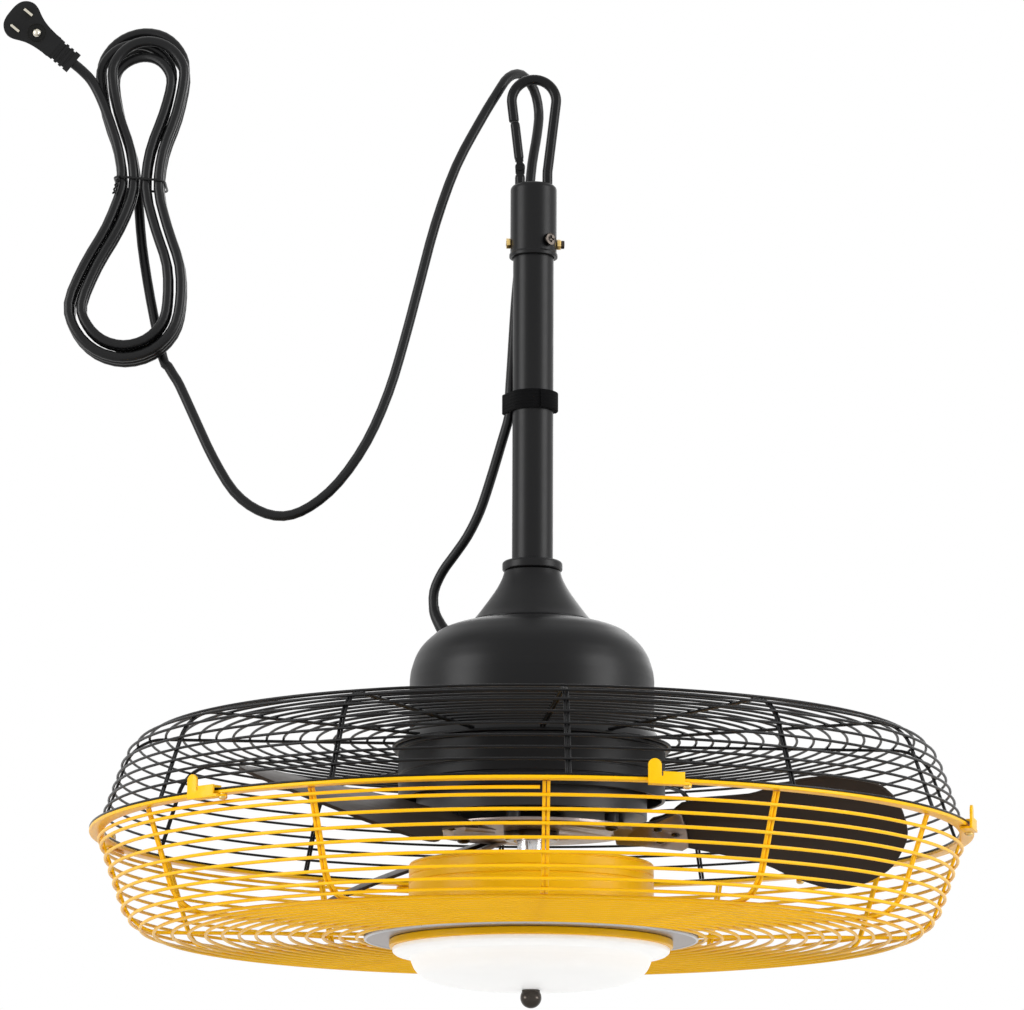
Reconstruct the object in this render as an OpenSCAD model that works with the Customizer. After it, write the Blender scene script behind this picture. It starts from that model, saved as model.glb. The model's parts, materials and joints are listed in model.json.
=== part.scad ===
// Caged outdoor ceiling fan with a light, held up by a snap hook.
// Millimetres. +Z up, the camera of the photograph looks along +Y.
// The origin is the hang point: the inside top of the snap hook.
// Heights inside the modules are counted from the plane between the two rims.

/* [Hanging] */
// Height of the hang point above the rim plane
hang_h = 470; // [450:1:490]
// Diameter of the snap hook's wire
hook_d = 6.4; // [6:0.1:6.6]
// Outer width of the hook's bow
hook_w = 33.9; // [33:0.1:35]
// Outer diameter of the hanger coupling
coupling_d = 28.6; // [28.2:0.1:30]
// Outer diameter of the downrod
rod_d = 25; // [24:0.1:25.2]
// Wall of the downrod
rod_wall = 2; // [1.5:0.1:2.2]

/* [Motor housing] */
// Outer diameter of the motor dome
dome_d = 148; // [144:1:150]
// Outer diameter of the motor shroud
shroud_d = 160.8; // [158:0.2:164]
// Sheet thickness of the housings
sheet_t = 2; // [1.6:0.1:2.2]
// Outer diameter of the bell's foot
bell_d = 73.2; // [66:0.2:78]

/* [Motor] */
// Outer diameter of the rotor ring
rotor_d = 139; // [134:1:142]
// Diameter of the hollow shaft
shaft_d = 17; // [15:0.5:18]
// Number of stator teeth
tooth_count = 12; // [9:1:12]
// Number of magnets
magnet_count = 14; // [10:2:16]

/* [Cage] */
// Outer diameter of the rims
rim_d = 530; // [520:1:540]
// Radial width of the rims
rim_w = 8.8; // [8:0.1:9.5]
// Height of the upper grille's ribs above the rim plane
upper_h = 56.2; // [56.2:0.1:56.5]
// Depth of the lower grille's ribs below the rim plane
lower_h = 58.6; // [58.4:0.1:58.6]
// Radius of the shoulders of both grilles
shoulder_r = 24; // [20:1:28]
// Wire diameter of the lower grille
lower_wire = 2; // [1.6:0.1:2.2]
// Wire diameter of the upper grille
upper_wire = 1.6; // [1.4:0.1:1.7]
// Number of double ribs in each grille
rib_count = 12; // [8:1:14]
// Distance between the two wires of a lower rib
rib_gap = 2.35; // [2.3:0.05:2.6]

/* [Blades] */
// Reach of the blades from the axis
blade_reach = 226.5; // [218:0.5:230]
// Pitch of the blades
blade_pitch = 21.5; // [18:0.5:22]
// Blade thickness
blade_t = 2; // [1.5:0.1:2.2]

/* [Light] */
// Outer diameter of the light drum
drum_d = 147; // [144:1:150]
// Outer diameter of the lower plate
plate_d = 200; // [196:1:204]
// Outer diameter of the trim ring
trim_d = 170; // [168:1:174]
// Outer diameter of the diffuser's flange
diffuser_d = 166; // [162:1:167]
// Diameter of the finial
finial_d = 12.8; // [12:0.2:13.4]

/* [Latches] */
// Width of a latch finger
finger_w = 7.5; // [6:0.5:8]
// Height of a latch finger above the rim plane
finger_h = 11.5; // [10:0.5:14]
// Diameter of a latch rivet
rivet_d = 3; // [2.4:0.1:3.2]

/* [Cord] */
// Diameter of the mains cord
cord_d = 6.2; // [6:0.1:6.3]

/* [Fits] */
// Radial clearance where a pivot or a shaft turns
turn_gap = 0.05; // [0.03:0.01:0.08]
// Clearance between faces that touch
face_gap = 0.05; // [0.03:0.01:0.08]

/* [Hidden] */
$fn = 64;
rim_r = rim_d / 2;
rim_in = rim_r - rim_w;
shaft_r = shaft_d / 2;
hole_r = shaft_r + 0.4;
drum_top = -15.8;

// Snap hook
bow_r = (hook_w - hook_d) / 2;
bow_z = hang_h + hook_d / 2 - bow_r;
leg_x = 8.45;
lean = 6.7;
line_len = (bow_r * cos(lean) - leg_x) / sin(lean);
eye_z = 382;
pin_r = 4;
pin_z = eye_z - (leg_x - hook_d / 2) + pin_r + face_gap;
pivot_z = 417;
gate_d = 5.2;
gate_len = 28.6;
nose_len = (bow_z - bow_r * sin(lean) - pivot_z) / cos(lean) - gate_len - 0.5;

// Coupling, rod and strap
coup_lo = 359;
coup_hi = 405;
rod_top = 373;
rod_lo = 138 + face_gap;
stud_az = 5;
set_az = 309;
stud_r = 1.9;
stud_z = 368;
stud_end = 17;
strap_z = 268;
strap_h = 12;
strap_t = 1.5;
cord_at_strap = [-14.2, 6.9];

// Grille wires, as points in a radial plane
wall_a = 19.4;
u_off = upper_wire + 0.06;
l_off = lower_wire + 0.06;
u_start = 2.7 + 0.5 * upper_wire * sin(wall_a) + 0.04;
l_start = 0.6 + 0.5 * lower_wire * sin(wall_a) + 0.04;
u_gap = rib_gap - 0.45;
function arc_c(h, start) = [rim_in + 1.1 - (h - shoulder_r + shoulder_r * sin(wall_a) - start) * tan(wall_a) - shoulder_r * cos(wall_a), h - shoulder_r];
u_c = arc_c(upper_h, u_start);
l_c = arc_c(lower_h, l_start + 2.4);
u_levels = [11.6, 18.6, 25.6, 32.6, 39.6];
u_angles = [35, 53, 71];
l_levels = [8.5, 16, 23.5, 31, 38.5];
l_angles = [26, 43, 61, 80];
top_plate_r = shroud_d / 2 + 3.8;
low_plate_r = plate_d / 2;
u_flat = [for (k = [0:13]) let (far = u_c[0] - 1.3, near = top_plate_r + 5) far + (near - far) * k / 13];
l_flat = [for (k = [0:11]) let (far = l_c[0] - 6.36, near = low_plate_r + 4.5) far + (near - far) * k / 11];
function wall_pt(c, off, z) = let (t = [c[0] + shoulder_r * cos(wall_a), c[1] + shoulder_r * sin(wall_a)], s = (t[1] - (z - off * sin(wall_a))) / cos(wall_a)) [t[0] + s * sin(wall_a) + off * cos(wall_a), z];
function arc_pt(c, off, a) = [c[0] + (shoulder_r + off) * cos(a), c[1] + (shoulder_r + off) * sin(a)];
u_rib_in = top_plate_r - 2.6;
l_rib_in = low_plate_r - 14;

// Angles of the ribs and latches, counted from the camera side to the right
u_rib_a = 4.5;
l_rib_a = 1.8;
latch_a = 17;

// Latch pivot, in a frame whose X points outwards
piv_x = rim_r - 2.1;
pad_r = 2.5;
piv_y = 9;

// Blades: outline along and across, from the photograph
pitch_dir = -1;
blade_az = -8;
blade_plan = [[72, -8.5], [80.5, -15], [86.4, -20.5], [92.5, -29.1], [97, -32], [125.8, -39.3], [138.7, -43], [162.3, -58.2], [178, -62.5], [191.1, -62.2], [211.3, -51.9], [221.9, -28.1], [225.4, 9.3], [218.9, 36.3], [210, 54.4], [190.9, 70.7], [173.8, 72.4], [154.2, 60.6], [136.3, 44], [118.8, 35.2], [93, 23.7], [82, 20], [72, 16.5]];
wing_plan = [[50, -9], [66, -8.5], [76, -12.5], [84, -18.5], [90, -23.5], [93, -22], [94, 0], [93, 18], [89, 22], [78, 19], [66, 16], [50, 13]];
rivet_pts = [[77, -5], [77, 10], [87, 2]];
hub_screw_a = [for (k = [0:2]) each [18.8 + 120 * k, 90 + 120 * k]];
hub_screw_r = 55;
hub_z = 3;
arm_top = 1.25;
blade_z = arm_top + blade_t / 2 + face_gap + 0.35;
function cr(p0, p1, p2, p3, t) = 0.5 * (2 * p1 + (p2 - p0) * t + (2 * p0 - 5 * p1 + 4 * p2 - p3) * t * t + (3 * p1 - p0 - 3 * p2 + p3) * t * t * t);
function closed_curve(p, n) = let (m = len(p)) [for (i = [0:m - 1], j = [0:n - 1]) cr(p[(i + m - 1) % m], p[i], p[(i + 1) % m], p[(i + 2) % m], j / n)];
function open_curve(p, n) = let (m = len(p)) [for (i = [0:m - 2], j = [0:n - 1]) cr(p[max(i - 1, 0)], p[i], p[i + 1], p[min(i + 2, m - 1)], j / n), p[m - 1]];

// Cord gland on the dome's shoulder
gland_az = 142;
gland_p = [60 * cos(gland_az), 60 * sin(gland_az), 121.92];
gland_tilt = 37.7;
gland_len = 13;
function gland_dir() = [sin(gland_tilt) * cos(gland_az), sin(gland_tilt) * sin(gland_az), cos(gland_tilt)];

// Hank: loops from a formula, with the waist drawn in
waist_z = 407;
top_z = 473;
bot_z = 328;
top_f = 14.7;
bot_f = 22.7;
lay = 7;
run_w = [11.4, 11.4, 3.6, 3.6, 3.6, 3.6, 11.4, 11.4, 11.4, 11.4, 3.6];
run_y = [0, 0, 0, 0, 1, 1, 1, 1, 2, 2, 3];
fold_up = [0, 0, 0, -5, 0, 0, 0, 5, 0, 0, 0];
function mid_x(z) = -243 - (z < waist_z ? 8 * pow(min((waist_z - z) / (waist_z - bot_z), 1), 2) : 0);
function flare(z) = z > waist_z ? top_f * (1 - cos(180 * min((z - waist_z) / (top_z - waist_z), 1))) / 2 : bot_f * (1 - cos(180 * min((waist_z - z) / (waist_z - bot_z), 1))) / 2;
function lay_y(k) = (k - 1) * lay;
function ease(t) = let (u = min(max(t, 0), 1)) u * u * (3 - 2 * u);
function run_pt(i, z) = let (s = i % 2 == 0 ? -1 : 1) [mid_x(z) + s * (run_w[i] + flare(z)), lay_y(run_y[i]), z];
// A top fold joins run i, going up on the right, to run i + 1 on the left
function top_fold(i) = let (a = run_w[i], b = run_w[i + 1], r = (a + b) / 2 + top_f, cx = (a - b) / 2)
    [for (q = [0:30:180]) [mid_x(top_z) + cx + r * cos(q), lay_y(run_y[i]) + (lay_y(run_y[i + 1]) - lay_y(run_y[i])) * ease((q - 25) / 100), top_z + fold_up[i] + r * sin(q)]];
function low_fold(i) = let (r = run_w[i] + bot_f) [for (q = [0:30:180]) [mid_x(bot_z) - r * cos(q), lay_y(run_y[i]), bot_z - r * sin(q)]];
side_z = [for (k = [1:5]) bot_z + (top_z - bot_z) * k / 6];
hank_start = [mid_x(waist_z) - run_w[0], lay_y(0), waist_z];
hank_exit = [-225, 14, 293.2];
exit_dir = [0.518, 0, -0.855];
hank_end = hank_exit;
hank_route = concat([hank_start - [0, 0, face_gap], hank_start - [0, 0, 7]], [for (k = [1, 0]) run_pt(0, side_z[k])],
    [for (i = [0:2:8]) each concat(low_fold(i), [for (z = side_z) run_pt(i + 1, z)], top_fold(i + 1), i < 8 ? [for (k = [4:-1:0]) run_pt(i + 2, side_z[k])] : [])],
    [run_pt(10, side_z[4]), run_pt(10, side_z[3]), [-245.5, 14, 400], [-242.5, 14, 370], [-236.5, 14, 335]], [hank_exit - 6.5 * exit_dir, hank_exit - face_gap * exit_dir]);

// Free stretches of the cord: the route's points, heights from the rim plane
gland_tip = gland_p + (gland_len + face_gap) * gland_dir();
lead_route = concat([gland_tip, gland_tip + 6.5 * gland_dir()], [
    [-60.4, 46.6, 146.5], [-60.6, 45.4, 158.5], [-55.5, 42, 170], [-48, 38, 180], [-40, 33.5, 191], [-32.5, 28.5, 205.5], [-26.3, 22.3, 223], [-19.5, 13.8, 244.5],
    [-14.4, 7.1, 262], [-14.2, 7, 275], [-13, 9.6, 296], [-11.8, 12, 318], [-10.6, 14.6, 338], [-9, 17.2, 356], [-6, 18.8, 380],
    [-3, 20.5, 404], [-1, 24, 426], [2, 31.5, 447], [3, 36.8, 463], [-0.2, 33.4, 476.8], [-8, 22.2, 483], [-16, 11.5, 478], [-23, 6, 466],
    [-33, 3.5, 448], [-48, 2, 418], [-60.5, 1, 381], [-70, 0, 343], [-79, 0, 307], [-88.5, 0, 274], [-101.5, 1, 243.5], [-118.5, 3, 218.5],
    [-136, 5, 203.5], [-152, 7, 198], [-168, 9, 202], [-183, 11, 214], [-196, 12.5, 235], [-206.5, 13.4, 257], [-217.4, 14, 280.6], [-221.6, 14, 287.6]], [hank_end]);
plug_pos = [-316.33, -24, 503.27];
plug_turn = 38.2;
plug_len = 41.4;
plug_plan = [[-8.7, -4.5], [-7.4, -8.6], [-4.4, -11.6], [-0.6, -12.9], [3.2, -12.2], [7, -10.4], [11, -8.8], [16, -7.7], [22, -7.1], [26.5, -6.6], [27, 0], [26.5, 6.6], [22, 7.1], [16, 7.7], [11, 8.8], [7, 10.4], [3.2, 12.2], [-0.6, 12.9], [-4.4, 11.6], [-7.4, 8.6], [-8.7, 4.5], [-8.9, 0]];
shank_r = 1.9;
plug_tilt = 17.1;
plug_yaw = 6.2;
plug_dir = [cos(plug_yaw) * cos(plug_turn) - sin(plug_yaw) * sin(plug_turn) * sin(plug_tilt), sin(plug_yaw) * cos(plug_turn) + cos(plug_yaw) * sin(plug_turn) * sin(plug_tilt), -sin(plug_turn) * cos(plug_tilt)];
tail_route = concat([plug_pos + (plug_len + face_gap) * plug_dir, plug_pos + (plug_len + 6.5) * plug_dir], [[-273.9, -9.9, 468.8], [-268, -9.7, 458], [-262.3, -10, 443.5], [-257, -9.5, 427.5], [-254.4, -7, 414]], [hank_start]);

// A tube of n sides swept along points; its ends are square to the end stretches
function unit(v) = v / norm(v);
function tangent(p, i) = unit(i == 0 ? p[1] - p[0] : i == len(p) - 1 ? p[i] - p[i - 1] : unit(p[i + 1] - p[i]) + unit(p[i] - p[i - 1]));
function side_v(t, u) = unit(u - (u * t) * t);
function frames(p, i = 0, u = [0, 1, 0], acc = []) = i == len(p) ? acc : let (t = tangent(p, i), s = side_v(t, i == 0 && abs(t[1]) > 0.9 ? [1, 0, 0] : u)) frames(p, i + 1, s, concat(acc, [[s, cross(t, s)]]));
module sweep(p, d, n) {
    f = frames(p);
    m = len(p);
    pts = [for (i = [0:m - 1], j = [0:n - 1]) p[i] + d / 2 * (cos(360 * j / n) * f[i][0] + sin(360 * j / n) * f[i][1])];
    polyhedron(concat(pts, [p[0], p[m - 1]]), concat(
        [for (i = [0:m - 2], j = [0:n - 1]) [i * n + j, (i + 1) * n + j, i * n + (j + 1) % n]],
        [for (i = [0:m - 2], j = [0:n - 1]) [i * n + (j + 1) % n, (i + 1) * n + j, (i + 1) * n + (j + 1) % n]],
        [for (j = [0:n - 1]) [m * n, j, (j + 1) % n]],
        [for (j = [0:n - 1]) [m * n + 1, (m - 1) * n + (j + 1) % n, (m - 1) * n + j]]));
}
function seg_d(a, b, c, d) = min([for (s = [0, 0.5], t = [0, 0.5]) norm(a + s * (b - a) - c - t * (d - c))]);
function self_gap(p, d, apart) = min([for (i = [0:len(p) - 2]) for (j = [i + apart:1:len(p) - 2]) seg_d(p[i], p[i + 1], p[j], p[j + 1])]) - d;
function route_len(p, i = 0, s = 0) = i >= len(p) - 1 ? s : route_len(p, i + 1, s + norm(p[i + 1] - p[i]));
lead_curve = concat([lead_route[0]], open_curve([for (i = [1:len(lead_route) - 2]) lead_route[i]], 2), [lead_route[len(lead_route) - 1]]);
tail_curve = concat([tail_route[0]], open_curve([for (i = [1:len(tail_route) - 2]) tail_route[i]], 2), [tail_route[len(tail_route) - 1]]);
echo(hank_self_gap = self_gap(hank_route, cord_d, 4), lead_self_gap = self_gap(lead_curve, cord_d, 4));
echo(lead_len = route_len(lead_curve), hank_len = route_len(hank_route), tail_len = route_len(tail_curve), rings = [len(lead_curve), len(hank_route), len(tail_curve)]);

module in_rim() { translate([0, 0, -hang_h]) children(); }
module ring(ri, ro, z0, z1) { translate([0, 0, z0]) difference() { cylinder(r = ro, h = z1 - z0); translate([0, 0, -1]) cylinder(r = ri, h = z1 - z0 + 2); } }
module bar(a, b, d) {
    v = b - a;
    translate(a) rotate([0, acos(v[2] / norm(v)), atan2(v[1], v[0])]) cylinder(d = d, h = norm(v));
}
module xz_arc(r, d, a0, a1) { rotate([90, 0, 0]) rotate([0, 0, a0]) rotate_extrude(angle = a1 - a0) translate([r, 0]) circle(d = d); }
module y_pin(r, len, x, z) { translate([x, len / 2, z]) rotate([90, 0, 0]) cylinder(r = r, h = len); }
module hoop(r, z, d, half = false) { translate([0, 0, z]) rotate([0, 0, half ? 91 : 0]) rotate_extrude(angle = half ? 180 : 360) translate([r, 0]) circle(d = d); }

// Hanging

module snap_hook() color([0.1, 0.1, 0.11]) in_rim() {
    top = [bow_r * cos(lean), 0, bow_z - bow_r * sin(lean)];
    way = [sin(lean), 0, cos(lean)];
    low = top - line_len * way;
    cut = asin(0.15 / bow_r);
    union() {
        translate([0, 0, bow_z]) xz_arc(bow_r, hook_d, cut - lean, 180 + lean - cut);
        bar(low + 0.15 * way, top - 0.15 * way, hook_d);
        bar([leg_x, 0, eye_z + 0.15], [leg_x, 0, low[2] - 0.4], hook_d);
        translate([0, 0, eye_z]) xz_arc(leg_x, hook_d, 181, 359);
        bar([-leg_x, 0, eye_z + 0.15], [-leg_x, 0, pivot_z - 5], hook_d);
        bar([-top[0], 0, top[2]] + [0.15 * way[0], 0, -0.15 * way[2]], [-top[0] + nose_len * way[0], 0, top[2] - nose_len * way[2]], hook_d);
        for (p = [top, [-top[0], 0, top[2]], [leg_x, 0, eye_z], [-leg_x, 0, eye_z], [(leg_x + low[0]) / 2, 0, low[2] - 0.1]]) translate(p) sphere(d = hook_d + 0.1);
        difference() {
            union() {
                y_pin(3.1, 2.6, -leg_x, pivot_z);
                translate([-leg_x - 2.4, -1.3, pivot_z - 6]) cube([4.8, 2.6, 6]);
            }
            y_pin(1.1 + turn_gap, 4, -leg_x, pivot_z);
        }
    }
}
module gate_pin() color([0.55, 0.55, 0.57]) in_rim() y_pin(1.1, 6, -leg_x, pivot_z);
module hook_gate() color([0.12, 0.12, 0.13]) in_rim() translate([-leg_x, 0, pivot_z]) rotate([0, -lean, 0]) difference() {
    union() {
        translate([0, 0, 3.7]) cylinder(d = gate_d, h = gate_len - 3.7);
        for (s = [-1, 1]) {
            translate([0, s * 2.35 + 0.65, 0]) rotate([90, 0, 0]) cylinder(r = 2.6, h = 1.3);
            translate([-2, s * 2.35 - 0.65, 0]) cube([4, 1.3, 5.2]);
        }
        translate([-2, -3, 3.7]) cube([4, 6, 1.8]);
    }
    y_pin(1.1 + turn_gap, 8, 0, 0);
}
module hanger_coupling() color([0.09, 0.09, 0.1]) in_rim() difference() {
    rotate_extrude() polygon([[0, coup_lo], [coupling_d / 2 + 0.6, coup_lo], [coupling_d / 2 + 0.6, coup_lo + 2.2], [coupling_d / 2, coup_lo + 2.8], [coupling_d / 2, coup_hi - 3],
        [coupling_d / 2 - 0.3, coup_hi - 1.7], [coupling_d / 2 - 1, coup_hi - 0.8], [coupling_d / 2 - 1.9, coup_hi - 0.2], [coupling_d / 2 - 3, coup_hi], [0, coup_hi]]);
    translate([0, 0, coup_lo - 1]) cylinder(r = rod_d / 2 + face_gap, h = rod_top + face_gap - coup_lo + 1);
    translate([0, 0, rod_top]) cylinder(r = 12, h = coup_hi - 4 - rod_top);
    translate([-leg_x, -hook_d / 2 - 0.3, coup_hi - 5]) cube([2 * leg_x, hook_d + 0.6, 7]);
    for (s = [-1, 1]) translate([s * leg_x, 0, coup_hi - 5]) cylinder(r = hook_d / 2 + 0.3, h = 7);
    translate([0, 7.1, 0]) y_pin(pin_r + face_gap, 40, 0, pin_z);
    translate([0, 0, stud_z]) rotate([0, 90, stud_az]) cylinder(r = stud_r + face_gap, h = 60, center = true);
    translate([0, 0, stud_z]) rotate([0, 90, set_az]) cylinder(r = stud_r + face_gap, h = 30);
}
module hanger_pin() color([0.6, 0.6, 0.62]) in_rim() translate([0, 0.4, 0]) y_pin(pin_r, 26.5, 0, pin_z);
module coupling_screws() color([0.12, 0.12, 0.13]) in_rim() translate([0, 0, stud_z]) {
    rotate([0, 90, stud_az]) union() {
        translate([0, 0, -stud_end]) cylinder(r = stud_r, h = 2 * stud_end + 0.1);
        translate([0, 0, stud_end]) cylinder(r = 2.6, h = 2);
    }
    rotate([0, 90, set_az]) difference() {
        union() {
            translate([0, 0, rod_d / 2 + face_gap]) cylinder(r = stud_r, h = 3);
            translate([0, 0, coupling_d / 2 + 0.7]) cylinder(r = 3.8, h = 2.4);
        }
        for (a = [0, 90]) rotate([0, 0, a]) translate([-2.2, -0.5, coupling_d / 2 + 1.9]) cube([4.4, 1, 3]);
    }
}
module coupling_nuts() color([0.72, 0.58, 0.25]) in_rim() translate([0, 0, stud_z]) for (s = [0, 180]) rotate([0, 90, stud_az + s]) translate([0, 0, coupling_d / 2 + 0.1]) difference() {
    linear_extrude(2.4) polygon([for (k = [0:5]) 3.3 * [cos(60 * k), sin(60 * k)]]);
    translate([0, 0, -1]) cylinder(r = stud_r + face_gap, h = 6);
}
module downrod() color([0.09, 0.09, 0.1]) in_rim() difference() {
    ring(rod_d / 2 - rod_wall, rod_d / 2, rod_lo, rod_top);
    translate([0, 0, stud_z]) rotate([0, 90, stud_az]) cylinder(r = stud_r + face_gap, h = 40, center = true);
}
module cord_strap() color([0.13, 0.13, 0.14]) in_rim() translate([0, 0, strap_z - strap_h / 2]) union() {
    linear_extrude(strap_h) difference() {
        hull() { circle(r = rod_d / 2 + strap_t + 0.1); translate(cord_at_strap) circle(r = cord_d / 2 + strap_t + 0.1); }
        circle(r = rod_d / 2 + 0.1);
        translate(cord_at_strap) circle(r = cord_d / 2 + 0.2);
    }
    rotate([0, 0, -70]) rotate_extrude(angle = 95) translate([rod_d / 2 + strap_t + 0.05, 0.6]) square([1, strap_h - 1.2]);
}

// Motor housing

module rod_collar() color([0.1, 0.1, 0.11]) in_rim() rotate_extrude() polygon([[rod_d / 2 + face_gap, 162.8], [17.6, 162.8], [18.3, 163.6], [18.3, 167.6], [17.2, 168.8], [rod_d / 2 + face_gap, 168.8]]);
module bell_canopy() color([0.09, 0.09, 0.1]) in_rim() rotate_extrude() polygon(concat([for (p = bell_out) p], [[rod_d / 2 + face_gap, 162.7], [rod_d / 2 + face_gap, 161.1]], [for (i = [len(bell_out) - 1:-1:0]) [bell_out[i][0] - 1.9, min(bell_out[i][1], 161.1)]]));
bell_r = bell_d / 2;
bell_out = [[bell_r, 130.7], [bell_r, 131.6], [bell_r - 3.2, 135.2], [bell_r - 6.8, 140], [bell_r - 10, 144.4], [bell_r - 13.2, 149], [bell_r - 16, 153.6], [bell_r - 18.2, 158.2], [bell_r - 19.6, 162.7]];
dome_r = dome_d / 2;
dome_lo = 67;
dome_top = 130.6;
dome_out = [[37, dome_top], [47, 128.4], [56, 125], [dome_r - 11.8, 120.2], [dome_r - 7, 115.2], [dome_r - 3.9, 110.2], [dome_r - 2, 105.1], [dome_r - 0.6, 100], [dome_r, 94.6]];
module motor_dome() color([0.09, 0.09, 0.1]) in_rim() difference() {
    rotate_extrude() polygon(concat([[shaft_r + 0.1, dome_top]], dome_out, [[dome_r, dome_lo + face_gap], [dome_r - 14, dome_lo + face_gap], [dome_r - 14, dome_lo + sheet_t + 0.1], [dome_r - sheet_t, dome_lo + sheet_t + 0.1]],
        [for (i = [len(dome_out) - 1:-1:0]) let (k = i / (len(dome_out) - 1)) dome_out[i] - [sheet_t * (k < 0.3 ? 0 : min(1, k * 1.1)), sheet_t * (1 - k * k)]], [[shaft_r + 0.1, dome_top - sheet_t]]));
    translate(gland_p) rotate([0, gland_tilt, gland_az]) translate([0, 0, -12]) cylinder(r = 4 + face_gap, h = 16);
}
shroud_r = shroud_d / 2;
ledge_z = upper_h - upper_wire / 2 - 2.2 - face_gap;
shroud_out = [[shroud_r - 12.4, 67], [shroud_r - 7.6, 64.8], [shroud_r - 3.6, 60.4], [shroud_r - 1.1, 54.8], [shroud_r - 0.3, ledge_z]];
shroud_in = [[shroud_r - sheet_t, 49], [shroud_r - 1.1 - sheet_t, 53.6], [shroud_r - 3.6 - sheet_t, 59.2], [shroud_r - 7.6 - sheet_t, 63.6]];
module motor_shroud() color([0.09, 0.09, 0.1]) in_rim() difference() {
    rotate_extrude() polygon(concat([[61, 67]], shroud_out, [[shroud_r + 2.2, ledge_z], [shroud_r + 2.2, ledge_z - 1.9], [shroud_r, ledge_z - 1.9], [shroud_r, 22], [shroud_r - sheet_t, 22]], shroud_in, [[shroud_r - 12.8, 67 - sheet_t], [61, 67 - sheet_t]]));
    for (z = [29.5, 36]) ring(shroud_r - 0.5, shroud_r + 2, z, z + 1.2);
}
module control_board() color([0.12, 0.3, 0.2]) in_rim() union() {
    ring(14, 66, 72, 73.6);
    for (a = [20:120:260]) rotate([0, 0, a]) translate([64, 0, 69.1 + face_gap]) cylinder(r = 2.6, h = 4);
    translate([22, -12, 73]) cube([24, 22, 12]);
    translate([-30, -28, 73]) cylinder(r = 8, h = 20);
    translate([-34, 16, 73]) cube([12, 16, 9]);
    translate([10, 34, 73]) cylinder(r = 5, h = 13);
}

// Motor

module stator_core() color([0.5, 0.5, 0.52]) in_rim() translate([0, 0, 28]) linear_extrude(20) difference() {
    union() {
        circle(r = 31);
        for (k = [0:tooth_count - 1]) rotate(360 / tooth_count * k) translate([0, -4]) square([57, 8]);
        difference() {
            circle(r = 60);
            circle(r = 56);
            for (k = [0:tooth_count - 1]) rotate(360 / tooth_count * (k + 0.5)) translate([50, -2]) square([14, 4]);
        }
    }
    circle(r = shaft_r + face_gap);
}
module stator_windings() color([0.72, 0.35, 0.15]) in_rim() for (k = [0:tooth_count - 1]) rotate([0, 0, 360 / tooth_count * k]) difference() {
    translate([34, -6.6, 25.4]) cube([20, 13.2, 25.2]);
    translate([30, -4.1, 27.9]) cube([30, 8.2, 20.2]);
}
module hollow_shaft() color([0.75, 0.76, 0.78]) in_rim() rotate_extrude() polygon([[4, drum_top - 10], [shaft_r - 0.6, drum_top - 10], [shaft_r - 0.6, drum_top + face_gap], [shaft_r, drum_top + face_gap], [shaft_r, 130.6 + face_gap], [14, 130.6 + face_gap], [14, 138], [rod_d / 2 - rod_wall - face_gap, 138], [rod_d / 2 - rod_wall - face_gap, 160], [4, 160]]);
module upper_bearing() color([0.7, 0.71, 0.73]) in_rim() ring(shaft_r + 0.03, 16, 55, 64);
module lower_bearing() color([0.7, 0.71, 0.73]) in_rim() ring(shaft_r + 0.03, 16, 12, 22);
rotor_r = rotor_d / 2;
module rotor_shell() color([0.1, 0.1, 0.11]) in_rim() difference() {
    union() {
        ring(rotor_r - 3.4, rotor_r, 11, 57);
        ring(19, rotor_r, 11, 14);
        ring(16 + turn_gap, 20, hub_z + 2 + face_gap, 23);
        at_hub_screws() translate([0, 0, hub_z + 2 + face_gap]) cylinder(r = 4.2, h = 8);
    }
    at_hub_screws() cylinder(r = 2 + face_gap, h = 20);
}
module rotor_cover() color([0.3, 0.3, 0.31]) in_rim() union() {
    ring(19, rotor_r, 57 + face_gap, 60);
    ring(16 + turn_gap, 20, 54, 65);
}
module magnets() color([0.35, 0.36, 0.38]) in_rim() for (k = [0:magnet_count - 1]) rotate([0, 0, 360 / magnet_count * k]) translate([0, 0, 27]) rotate_extrude(angle = 360 / magnet_count - 4) translate([rotor_r - 7.4, 0]) square([4 - face_gap, 22]);

// Hub and blades

module arm_frame(k) { translate([0, 0, 2.5]) rotate([0, 0, blade_az + 120 * k]) rotate([pitch_dir * blade_pitch, 0, 0]) children(); }
module at_hub_screws() { for (a = hub_screw_a) rotate([0, 0, a]) translate([hub_screw_r, 0, 0]) children(); }
module hub_plate() color([0.33, 0.24, 0.17]) in_rim() difference() {
    union() {
        translate([0, 0, hub_z]) cylinder(r = 62, h = 2);
        for (k = [0:2]) arm_frame(k) difference() {
            translate([0, 0, -arm_top]) linear_extrude(2 * arm_top) polygon(wing_plan);
            for (s = rivet_pts) translate([s[0], s[1], -5]) cylinder(r = 1.6 + face_gap, h = 10);
        }
    }
    translate([0, 0, -20]) cylinder(r = hole_r, h = 40);
    at_hub_screws() translate([0, 0, -5]) cylinder(r = 2 + face_gap, h = 15);
}
module hub_cap() color([0.3, 0.22, 0.16]) in_rim() rotate_extrude() polygon([[hole_r, hub_z - 1.8], [15.6, hub_z - 1.8], [16.7, hub_z - 0.9], [16.7, hub_z - face_gap], [hole_r, hub_z - face_gap]]);
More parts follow.
